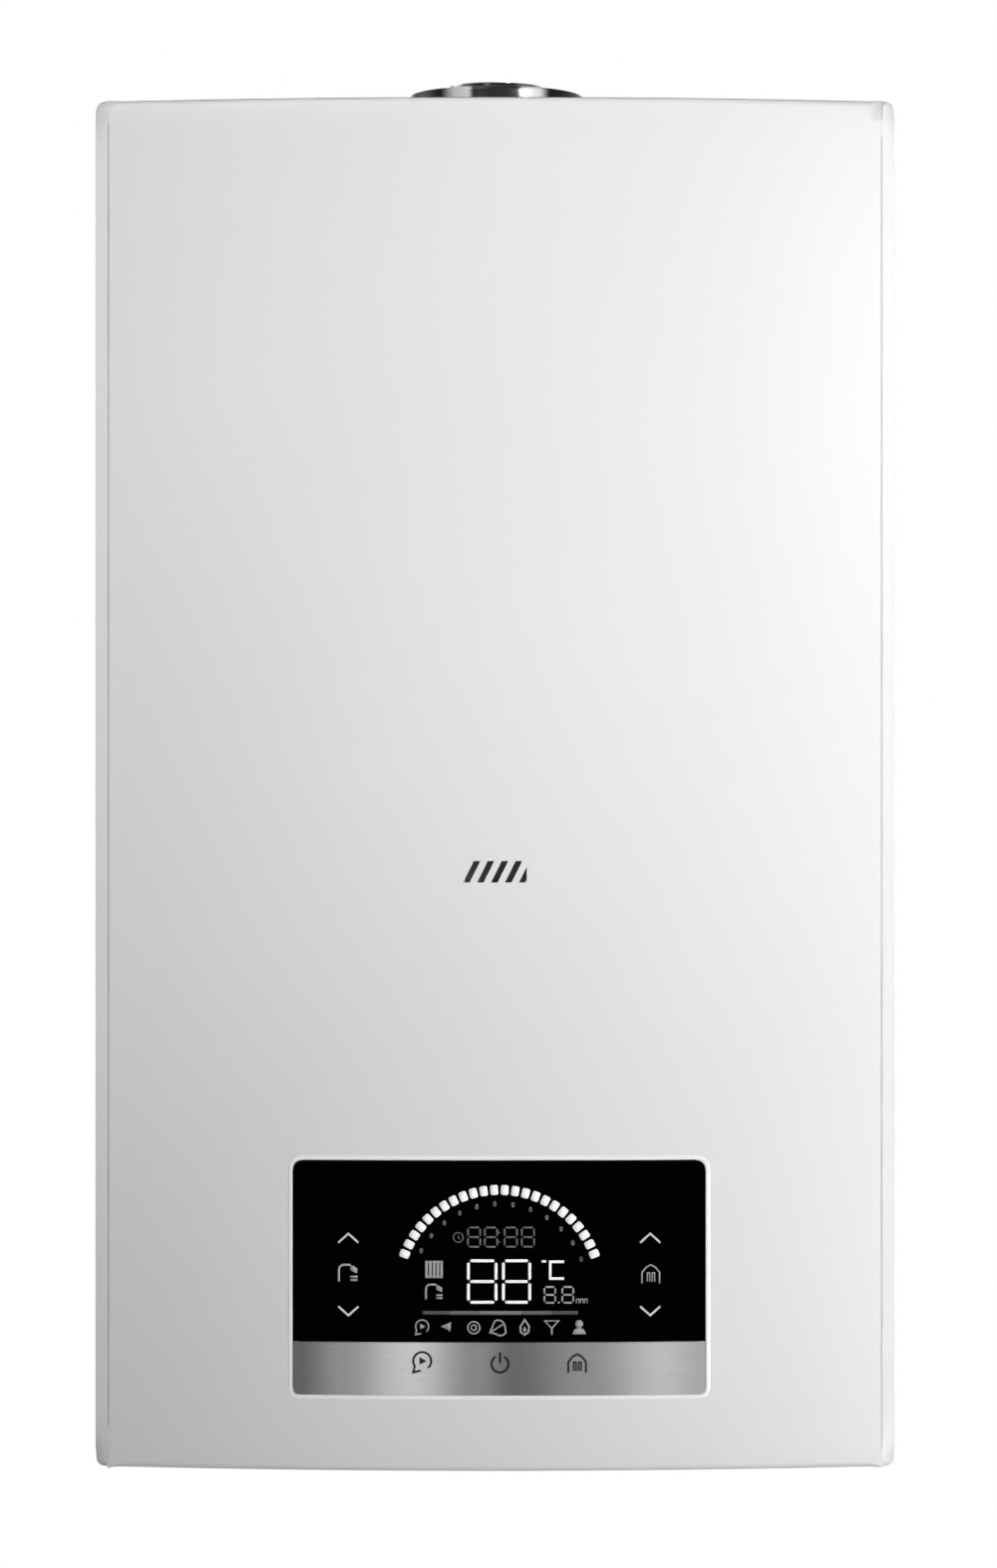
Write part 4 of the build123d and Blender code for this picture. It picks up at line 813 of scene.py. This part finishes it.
@dataclass
class PanelFace:
    """Black glass and silver strip out to the panel's outline, and the cover's pale lip round them,
    brightened by a glow of painted highlight.
    """

    bow: Bow
    grow: float = 0.4 * MM
    lip_gap: float = 0.25 * MM
    lip_width: float = 2.3 * MM
    lip_proud: float = 0.5 * MM
    lip_depth: float = 0.8 * MM
    top_radius: float = 5.0 * MM
    base_radius: float = 3.0 * MM
    seam: float = 0.15 * MM
    back: float = 0.62 * MM
    front: float = 0.80 * MM
    slices: int = 28

    def corners(self) -> tuple[Vector, Vector]:
        """The panel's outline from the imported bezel, a little grown."""
        low, high = (Vector(corner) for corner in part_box("panel_bezel"))
        reach = Vector((self.grow, 0.0, self.grow))
        return low - reach, high + reach

    def plate(self, z0: float, z1: float, top: float, base: float) -> Shape:
        """Thin plate that follows the bow.

        Args:
            z0: Lower side.
            z1: Upper side.
            top: Radius of its upper corners.
            base: Radius of its lower corners.

        Returns:
            The closed plate.
        """
        low, high = self.corners()
        bm = rounded_prism(low.x, high.x, z0, z1, top, base, 0.0, 1.0)
        for index in range(1, self.slices):
            x = low.x + (high.x - low.x) * index / self.slices
            bmesh.ops.bisect_plane(
                bm, geom=bm.verts[:] + bm.edges[:] + bm.faces[:], plane_co=(x, 0, 0), plane_no=(1, 0, 0)
            )
        for vert in bm.verts:
            vert.co.y = self.bow.y(vert.co.x, self.front if vert.co.y < 0.5 else self.back)
        return bm

    def outline(self, offset: float) -> list[Point]:
        """Rounded outline round the panel, with its level sides cut up so that they can bend.

        Args:
            offset: How far outside the panel's own outline.

        Returns:
            The points, the same number for every offset.
        """
        low, high = self.corners()
        points = []
        for x, z, radius, start in (
            (high.x, high.z, self.top_radius, 0), (low.x, high.z, self.top_radius, 90),
            (low.x, low.z, self.base_radius, 180), (high.x, low.z, self.base_radius, 270),
        ):
            centre = (x - math.copysign(radius, x), z - radius if start < 180 else z + radius)
            points += arc(centre, radius + offset, start, start + 90, 8)
            if start in (0, 180):
                first = Vector(points[-1])
                last = Vector((-first.x + low.x + high.x, first.y))
                points += [tuple(first.lerp(last, k / self.slices)) for k in range(1, self.slices)]
        return points

    def lip(self) -> Shape:
        """Rounded lip on the cover along the opening's edge; its finish glows a little as a painted
        highlight.
        """
        bm = bmesh.new()
        wide = self.lip_width
        section = [(0.0, -self.lip_depth), (0.0, 0.3 * self.lip_proud)]
        section += [(wide * (0.5 - 0.5 * math.cos(a)), self.lip_proud * (0.3 + 0.7 * math.sin(a)))
                    for a in (math.pi * k / 8 for k in range(1, 8))]
        section += [(wide, 0.3 * self.lip_proud), (wide, -0.2 * self.lip_depth)]
        loops = []
        for offset, proud in section:
            points = self.outline(self.lip_gap + offset)
            loops.append([bm.verts.new((x, self.bow.y(x, proud), z)) for x, z in points])
        count = len(loops[0])
        for one, two in zip(loops, loops[1:] + loops[:1]):
            for k in range(count):
                bm.faces.new((one[k], one[(k + 1) % count], two[(k + 1) % count], two[k]))
        bmesh.ops.recalc_face_normals(bm, faces=bm.faces)
        return bm

    def build(self) -> None:
        """Makes both faces and the lip."""
        low, high = self.corners()
        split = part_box("panel_strip")[1][2] + 0.1 * MM
        glass = self.plate(split + self.seam / 2, high.z, self.top_radius, 0.2 * MM)
        finish_piece(glass, "glass_face", BLACK_GLASS, "control_box")
        strip = self.plate(low.z, split - self.seam / 2, 0.2 * MM, self.base_radius)
        finish_piece(strip, "strip_face", SILVER_STRIP, "control_box")
        finish_piece(self.lip(), "opening_lip", PALE_RIM_PAINTED_HIGHLIGHT, "cover")


SEGMENTS = {
    "a": ((0.0, 1.0), (1.0, 1.0)),
    "b": ((1.0, 1.0), (1.0, 0.5)),
    "c": ((1.0, 0.5), (1.0, 0.0)),
    "d": ((0.0, 0.0), (1.0, 0.0)),
    "e": ((0.0, 0.5), (0.0, 0.0)),
    "f": ((0.0, 1.0), (0.0, 0.5)),
    "g": ((0.0, 0.5), (1.0, 0.5)),
}


@dataclass
class Artwork:
    """Flat shapes laid on the bowed panel, in millimetres from the panel's lower middle."""

    bow: Bow
    rise: float = 0.5
    lift: float = 0.05 * MM
    proud: float = 0.80 * MM
    longest: float = 6.0
    bm: Shape = field(default_factory=bmesh.new)

    def polygon(self, points: Sequence[Point]) -> None:
        """Adds one filled outline."""
        self.bm.faces.new([self.bm.verts.new((u, 0.0, v)) for u, v in points])

    def stroke(self, points: Sequence[Point], width: float, closed: bool = False) -> None:
        """Adds a line of even width with mitred corners.

        Args:
            points: The line's points.
            width: The line's width.
            closed: Whether the last point joins the first.
        """
        count = len(points)
        sides = []
        for index, point in enumerate(points):
            here = Vector(point)
            before = Vector(points[index - 1]) if index or closed else None
            after = Vector(points[(index + 1) % count]) if index < count - 1 or closed else None
            ahead = (after - here).normalized() if after is not None else (here - before).normalized()
            behind = (here - before).normalized() if before is not None else ahead
            normal = Vector((-(ahead.y + behind.y), ahead.x + behind.x)).normalized()
            across = Vector((-ahead.y, ahead.x))
            reach = width / 2 / max(0.5, normal.dot(across))
            sides.append((here + normal * reach, here - normal * reach))
        pairs = [tuple(self.bm.verts.new((p.x, 0.0, p.y)) for p in pair) for pair in sides]
        last = count if closed else count - 1
        for index in range(last):
            a, b = pairs[index]
            c, d = pairs[(index + 1) % count]
            self.bm.faces.new((a, b, d, c))

    def disc(self, centre: Point, radius: float, sides: int = 20) -> None:
        """Adds a filled circle."""
        self.polygon(arc(centre, radius, 0, 360 - 360 / sides, sides))

    def ring(
        self, centre: Point, radius: float, width: float, start: float = 0, sweep: float = 360
    ) -> None:
        """Adds a circle or part of one as a line."""
        full = sweep >= 360
        sides = 28
        end = start + sweep - (360 / sides if full else 0)
        self.stroke(arc(centre, radius, start, end, sides), width, closed=full)

    def digit(self, left: float, base: float, width: float, height: float, stroke: float) -> None:
        """Adds an eight in seven bars with pointed ends.

        Args:
            left: Left side.
            base: Lower side.
            width: The digit's width.
            height: The digit's height.
            stroke: The bars' width.
        """
        corner = Vector((left + stroke / 2, base + stroke / 2))
        inner = Vector((width - stroke, height - stroke))
        for ends in SEGMENTS.values():
            p, q = (corner + Vector((u * inner.x, v * inner.y)) for u, v in ends)
            along = (q - p).normalized()
            across = Vector((-along.y, along.x)) * stroke / 2
            p += along * stroke * 0.5
            q -= along * stroke * 0.5
            tip = along * stroke * 0.42
            bar = (p, p + tip + across, q - tip + across, q, q - tip - across, p + tip - across)
            self.polygon([tuple(point) for point in bar])

    def place(self, name: str, finish: Finish) -> Piece:
        """Bends the shapes onto the panel and makes a piece of them.

        Args:
            name: The piece's name.
            finish: The ink or light.

        Returns:
            The new object.
        """
        low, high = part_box("panel_bezel")
        middle = (low[0] + high[0]) / 2
        long_edges = [e for e in self.bm.edges if e.calc_length() > self.longest]
        if long_edges:
            bmesh.ops.subdivide_edges(self.bm, edges=long_edges, cuts=12, use_grid_fill=True)
        for vert in self.bm.verts:
            x = middle + vert.co.x * MM
            z = low[2] + (vert.co.z + self.rise) * MM
            vert.co = Vector((x, self.bow.y(x, self.proud + self.lift), z))
        bmesh.ops.recalc_face_normals(self.bm, faces=self.bm.faces)
        for face in self.bm.faces:
            if face.normal.y > 0:
                face.normal_flip()
        piece = finish_piece(self.bm, name, finish, "control_box")
        skin = piece.modifiers.new("ink", "SOLIDIFY")
        skin.thickness = self.lift
        skin.offset = -1.0
        return piece


def arc(centre: Point, radius: float, start: float, end: float, steps: int) -> list[Point]:
    """Points along an arc, angles in degrees.

    Args:
        centre: The arc's centre.
        radius: Its radius.
        start: First angle.
        end: Last angle.
        steps: How many points.

    Returns:
        The points, both ends included.
    """
    angles = [math.radians(start + (end - start) * i / (steps - 1)) for i in range(steps)]
    return [(centre[0] + radius * math.cos(a), centre[1] + radius * math.sin(a)) for a in angles]


@dataclass
class PanelArt:
    """Everything printed or lit on the control panel."""

    bow: Bow
    column: float = 80.7
    gauge_radius: float = 54.5
    gauge_centre: Point = (0.1, 54.3)
    gauge_span: float = 68.2
    gauge_marks: int = 24
    mark_width: float = 4.2
    mark_height: float = 5.3
    mark_cut: float = 0.7
    number_drop: float = 7.4

    def art(self) -> Artwork:
        """A fresh sheet of artwork."""
        return Artwork(self.bow)

    def gauge(self) -> None:
        """Arc of bright blocks with its small numbers."""
        art = self.art()
        numbers = self.art()
        centre = Vector(self.gauge_centre)
        for index in range(self.gauge_marks):
            share = 2 * index / (self.gauge_marks - 1)
            angle = math.radians(90 + self.gauge_span - self.gauge_span * share)
            out = Vector((math.cos(angle), math.sin(angle)))
            across = Vector((-out.y, out.x))
            middle = centre + out * self.gauge_radius
            wide = self.mark_width / 2
            high = self.mark_height / 2
            cut = self.mark_cut
            shape = [(wide, cut - high), (wide, high - cut), (wide - cut, high), (cut - wide, high),
                     (-wide, high - cut), (-wide, cut - high), (cut - wide, -high), (wide - cut, -high)]
            art.polygon([tuple(middle + across * u + out * v) for u, v in shape])
            if index % 2:
                spot = centre + out * (self.gauge_radius - self.number_drop)
                numbers.digit(spot.x - 0.9, spot.y - 1.3, 1.7, 2.6, 0.42)
        art.place("gauge_blocks", LIT_WHITE)
        numbers.place("gauge_numbers", LIT_GREY)

    def digits(self) -> None:
        """Clock, temperature and pressure figures."""
        clock = self.art()
        for left in (-17.3, -8.3, 2.3, 11.5):
            clock.digit(left, 77.9, 7.6, 11.3, 1.0)
        clock.disc((-0.1, 86.0), 0.55, 10)
        clock.disc((-0.1, 81.0), 0.55, 10)
        clock.ring((-21.9, 83.4), 2.6, 0.55)
        clock.stroke([(-21.9, 85.0), (-21.9, 83.2), (-20.8, 82.6)], 0.45)
        clock.place("clock_figures", LIT_DIM)
        big = self.art()
        for left, width in ((-17.3, 16.3), (1.4, 15.6)):
            big.digit(left, 48.0, width, 23.7, 1.55)
        big.stroke([(22.6, 70.6), (25.0, 70.6)], 1.2)
        big.stroke([(34.6, 70.4), (27.2, 70.4), (27.2, 61.4), (34.6, 61.4)], 1.35)
        big.place("temperature_figures", LIT_WHITE)
        small = self.art()
        for left in (23.6, 33.2):
            small.digit(left, 48.0, 6.8, 9.4, 0.95)
        small.disc((31.8, 48.6), 0.55, 10)
        for left in (41.2, 43.4, 45.6):
            small.stroke([(left, 48.2), (left, 50.4), (left + 1.4, 50.4), (left + 1.4, 48.2)], 0.45)
        small.place("pressure_figures", LIT_GREY)

    def chevrons(self) -> None:
        """Up and down touch marks in both columns."""
        art = self.art()
        for side in (-1, 1):
            u = side * self.column
            art.stroke([(u - 5.4, 80.4), (u, 85.2), (u + 5.4, 80.4)], 1.1)
            art.stroke([(u - 5.4, 46.3), (u, 41.5), (u + 5.4, 46.3)], 1.1)
        art.place("chevrons", LIT_SOFT)

    def tap(self, art: Artwork, left: float, base: float, scale: float) -> None:
        """Water tap: a bent spout with a handle and two streams.

        Args:
            art: The sheet that gets it.
            left: Left side.
            base: Lower side.
            scale: Width of the mark.
        """
        s = scale
        spout = arc((left + 0.30 * s, base + 0.58 * s), 0.25 * s, 180, 90, 6)
        art.stroke([(left + 0.05 * s, base), *spout, (left + 0.62 * s, base + 0.83 * s)], 0.1 * s)
        knob = [(0.62, 0.83), (0.62, 0.56), (0.94, 0.40), (0.98, 0.62), (0.80, 0.76)]
        art.polygon([(left + u * s, base + v * s) for u, v in knob])
        for drop in (0.24, 0.08):
            art.stroke([(left + 0.62 * s, base + drop * s), (left + 0.98 * s, base + drop * s)], 0.1 * s)

    def house(self, art: Artwork, centre: float, base: float, scale: float, width: float) -> None:
        """House outline round two radiator bars.

        Args:
            art: The sheet that gets it.
            centre: Middle.
            base: Lower side.
            scale: Width of the mark.
            width: The lines' width.
        """
        s = scale
        slope = [(-0.5, 0.0), (-0.5, 0.62), (-0.26, 0.92)]
        roof = [*slope, (0.0, 1.06), *((-u, v) for u, v in reversed(slope))]
        art.stroke([(centre + u * s, base + v * s) for u, v in roof], width)
        for offset in (-0.2, 0.08):
            u = centre + offset * s
            right = u + 0.14 * s
            foot = base + 0.1 * s
            head = base + 0.6 * s
            art.stroke([(u, foot), (u, head), (right, head), (right, foot)], width * 0.8)

    def icons(self) -> None:
        """Tap, house and radiator marks, and the row of state marks."""
        art = self.art()
        self.tap(art, -86.3, 59.6, 10.8)
        self.house(art, self.column + 0.3, 58.6, 9.4, 0.75)
        self.tap(art, -39.7, 50.2, 9.6)
        self.head(art, -41.4, 35.4, 0.95, 0.7)
        self.state_row(art)
        art.place("panel_marks", LIT_GREY)
        radiator = self.art()
        for index in range(5):
            u = -38.9 + 2.0 * index
            radiator.stroke([(u, 61.6), (u, 70.9)], 1.45)
        for v in (62.4, 70.1):
            radiator.stroke([(-39.7, v), (-30.1, v)], 0.8)
        radiator.place("radiator_mark", LIT_GREY)

    def head(self, art: Artwork, u: float, v: float, scale: float, width: float) -> None:
        """Round speech mark with a small flag in it, for the schedule.

        Args:
            art: The sheet that gets it.
            u: Middle across.
            v: Middle up.
            scale: Size against the strip's mark.
            width: The lines' width.
        """
        s = scale * 3.7
        outline = arc((u + 0.05 * s, v + 0.1 * s), s, -50, 215, 18)
        art.stroke([*outline, (u - 0.95 * s, v - 1.15 * s), (u - 0.1 * s, v - 0.95 * s)], width)
        flag = ((-0.25, 0.55), (0.55, 0.1), (-0.25, -0.3))
        art.polygon([(u + a * s, v + b * s) for a, b in flag])

    def state_row(self, art: Artwork) -> None:
        """State marks under the divider: pointer, globe, leaf, flame, signal and bell."""
        v = 35.2
        art.polygon([(-31.4, v + 0.6), (-25.8, v + 3.0), (-26.2, v - 2.2), (-28.0, v - 0.8)])
        art.ring((-13.6, v), 3.2, 0.7)
        art.ring((-13.6, v), 1.4, 0.6)
        upper = arc((-0.6, v + 0.4), 3.6, 20, 120, 8)
        lower = arc((0.6, v - 0.8), 3.4, 230, 330, 8)
        art.stroke([*upper, (-5.0, v - 2.6), *lower], 0.8, closed=True)
        art.stroke([(-4.0, v - 2.0), (2.0, v + 1.8)], 0.7)
        flame = ((13.6, 4.2), (16.0, 0.6), (15.6, -2.4), (13.6, -3.8), (11.4, -2.4), (11.2, 0.4))
        art.stroke([(u, v + b) for u, b in flame], 0.95, closed=True)
        art.polygon([(13.6, v + 0.8), (14.6, v - 1.2), (13.6, v - 2.6), (12.6, v - 1.2)])
        art.stroke([(24.2, v + 3.6), (31.8, v + 3.6), (28.0, v - 0.4)], 0.8, closed=True)
        art.stroke([(28.0, v - 0.2), (28.0, v - 3.8)], 0.9)
        art.disc((42.7, v + 1.9), 2.1)
        bell = ((39.0, -3.6), (46.4, -3.6), (45.2, -1.0), (43.6, -0.2), (41.8, -0.2), (40.2, -1.0))
        art.polygon([(u, v + b) for u, b in bell])

    def divider(self) -> None:
        """Thin light line under the figures, brightest in the middle."""
        for name, spans, finish in (
            ("divider_ends", ((-41.0, -27.0), (28.0, 42.0)), LIT_FAINT),
            ("divider_sides", ((-27.0, -11.0), (12.0, 28.0)), LIT_DIM),
            ("divider_middle", ((-11.0, 12.0),), LIT_MIDDLE),
        ):
            art = self.art()
            for start, end in spans:
                art.polygon([(start, 42.1), (end, 42.1), (end, 44.1), (start, 44.1)])
            art.place(name, finish)

    def strip(self) -> None:
        """Three dark marks on the silver strip."""
        art = self.art()
        self.head(art, -41.4, 16.8, 1.3, 1.15)
        art.ring((0.4, 15.8), 4.5, 1.15, start=120, sweep=300)
        art.stroke([(0.4, 22.0), (0.4, 16.2)], 1.15)
        self.house(art, 41.6, 11.0, 9.4, 1.05)
        art.place("strip_marks", PRINT_DARK)

    def build(self) -> None:
        """Makes all of the panel's artwork."""
        self.gauge()
        self.digits()
        self.chevrons()
        self.icons()
        self.divider()
        self.strip()


@dataclass
class PackedParts:
    """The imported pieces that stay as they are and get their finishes."""

    def dress(self) -> None:
        """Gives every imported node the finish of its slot."""
        for entry in frame["record"]["subparts"]:
            node = frame["nodes"][entry["node"]]
            material = SLOT_FINISHES[entry["material_slot"]].make()
            node.data.materials.clear()
            node.data.materials.append(material)


@dataclass
class Lamp:
    """One soft area light."""

    name: str
    place: Place
    target: Place
    width: float
    height: float
    power: float
    spread: float = 180.0

    def build(self) -> None:
        """Hangs the lamp and turns it to its target."""
        light = bpy.data.lights.new(self.name, "AREA")
        light.shape = "RECTANGLE"
        light.size = self.width
        light.size_y = self.height
        light.energy = self.power
        light.spread = math.radians(self.spread)
        lamp = add_object(self.name, light)
        lamp.location = self.place
        aim = Vector(self.target) - Vector(self.place)
        lamp.rotation_euler = aim.to_track_quat("-Z", "Y").to_euler()


@dataclass
class Studio:
    """Camera, lamps, pale floor and white surroundings."""

    photo_width: int = 1000
    focal_px: float = 5019.0
    sensor: float = 36.0
    camera_place: Place = (0.0019, -3.001, -0.2945)
    floor_z: float = -1.55
    floor_size: float = 14.0
    floor_lift: float = 0.55
    fade_start: float = 1.6
    fade_end: float = 4.5
    ambient: float = 0.07
    aim: Place = (0.0, -0.30, -0.28)

    def camera(self) -> None:
        """Sets the camera level, square to the front."""
        lens = bpy.data.cameras.new("camera")
        lens.sensor_fit = "HORIZONTAL"
        lens.sensor_width = self.sensor
        lens.lens = self.focal_px / self.photo_width * self.sensor
        lens.clip_end = 50.0
        camera = add_object("camera", lens)
        camera.location = self.camera_place
        camera.rotation_euler = Euler((math.radians(90), 0, 0))
        bpy.context.scene.camera = camera

    def surroundings(self) -> None:
        """White to the camera and in reflections, a soft grey light otherwise."""
        world = bpy.data.worlds.new("surroundings")
        world.use_nodes = True
        graph = Graph(world.node_tree)
        graph.tree.nodes.clear()
        path = graph.add("LightPath").outputs
        direct = graph.either(path["Is Camera Ray"], path["Is Glossy Ray"])
        seen = graph.either(direct, path["Is Transmission Ray"])
        dim = graph.add("Background", {"Color": (1, 1, 1, 1), "Strength": self.ambient})
        white = graph.add("Background", {"Color": (1, 1, 1, 1)})
        mix = graph.add("MixShader", {"Fac": seen, 1: dim.outputs[0], 2: white.outputs[0]})
        graph.add("OutputWorld", {"Surface": mix.outputs[0]})
        bpy.context.scene.world = world

    def floor_paint(self) -> bpy.types.Material:
        """Pale paint that keeps shadows near the boiler and fades to white away from it.

        Returns:
            The floor's material.
        """
        material = grey("floor_pale", 0.80, 0.82, 0.8, 0.02, scale=60.0, specular=0.1).make()
        graph = Graph(material.node_tree)
        nodes = graph.tree.nodes
        place = graph.add("TexCoord").outputs["Object"]
        reach = graph.add("VectorMath", {0: place}, operation="LENGTH")
        fade = graph.add("MapRange", {
            "Value": reach.outputs["Value"], "From Min": self.fade_start, "From Max": self.fade_end,
            "To Min": self.floor_lift,
        }, interpolation_type="SMOOTHSTEP")
        path = graph.add("LightPath").outputs
        seen = graph.either(path["Is Camera Ray"], path["Is Glossy Ray"])
        share = graph.add("Math", {0: seen, 1: fade.outputs["Result"]}, operation="MULTIPLY")
        mix = graph.add("MixShader", {
            "Fac": share.outputs[0], 1: nodes["Principled BSDF"].outputs["BSDF"],
            2: graph.add("Emission").outputs["Emission"],
        })
        graph.fill(nodes["Material Output"], {"Surface": mix.outputs["Shader"]})
        return material

    def floor(self) -> None:
        """Lays the pale floor below the hanging boiler."""
        bm = bmesh.new()
        bmesh.ops.create_grid(bm, x_segments=8, y_segments=8, size=self.floor_size / 2)
        bmesh.ops.translate(bm, vec=(0, 0, self.floor_z), verts=bm.verts)
        mesh = mesh_from(bm, "floor")
        mesh.materials.append(self.floor_paint())
        floor = add_object("floor", mesh)

    def build(self) -> None:
        """Sets up the whole studio."""
        self.camera()
        self.surroundings()
        self.floor()
        aim = self.aim
        lamps = [
            Lamp("right", (2.4, -1.6, 0.3), aim, 1.2, 1.8, 3.3),
            Lamp("right_low", (2.4, -1.6, -0.9), aim, 1.2, 1.2, 3.3),
            Lamp("graze", (2.2, -0.75, 0.1), aim, 0.8, 1.6, 1.4),
            Lamp("front", (0.6, -3.6, 0.6), aim, 1.6, 1.6, 6.7),
            Lamp("above", (0.0, -1.6, 1.8), aim, 1.6, 1.2, 2.3),
            Lamp("upper_left", (-0.9, -2.6, 1.2), (-0.1, -0.3, -0.1), 0.6, 0.6, 1.0, spread=36.0),
            Lamp("upper_right", (1.5, -2.6, 0.2), (0.06, -0.3, 0.04), 0.5, 0.5, 1.0, spread=28.0),
            Lamp("lower_right", (1.9, -2.2, -0.9), (0.3, -0.3, -0.62), 0.5, 0.5, 1.25, spread=30.0),
            Lamp("back", (-0.8, 2.6, 0.9), (0.0, 0.0, -0.3), 1.6, 1.6, 26.0),
            Lamp("left_side", (-2.8, 0.5, 0.4), (-0.2, -0.15, -0.3), 1.4, 1.4, 18.0),
        ]
        for lamp in lamps:
            lamp.build()
        scene = bpy.context.scene
        scene.view_settings.view_transform = "Standard"
        log.info("studio ready with %d lamps", len(lamps))


def main() -> None:
    """Builds and dresses the boiler, then the studio round it."""
    logging.basicConfig(level=logging.INFO, format="%(name)s: %(message)s")
    Studio().build()
    PackedParts().dress()
    bow = Bow.from_frame()
    builders: list[Callable[[], object]] = [
        FrontCover(bow).build,
        FlueCollar().build,
        PanelFace(bow).build,
        PanelArt(bow).build,
    ]
    for build in builders:
        build()


if __name__ == "__main__":
    main()
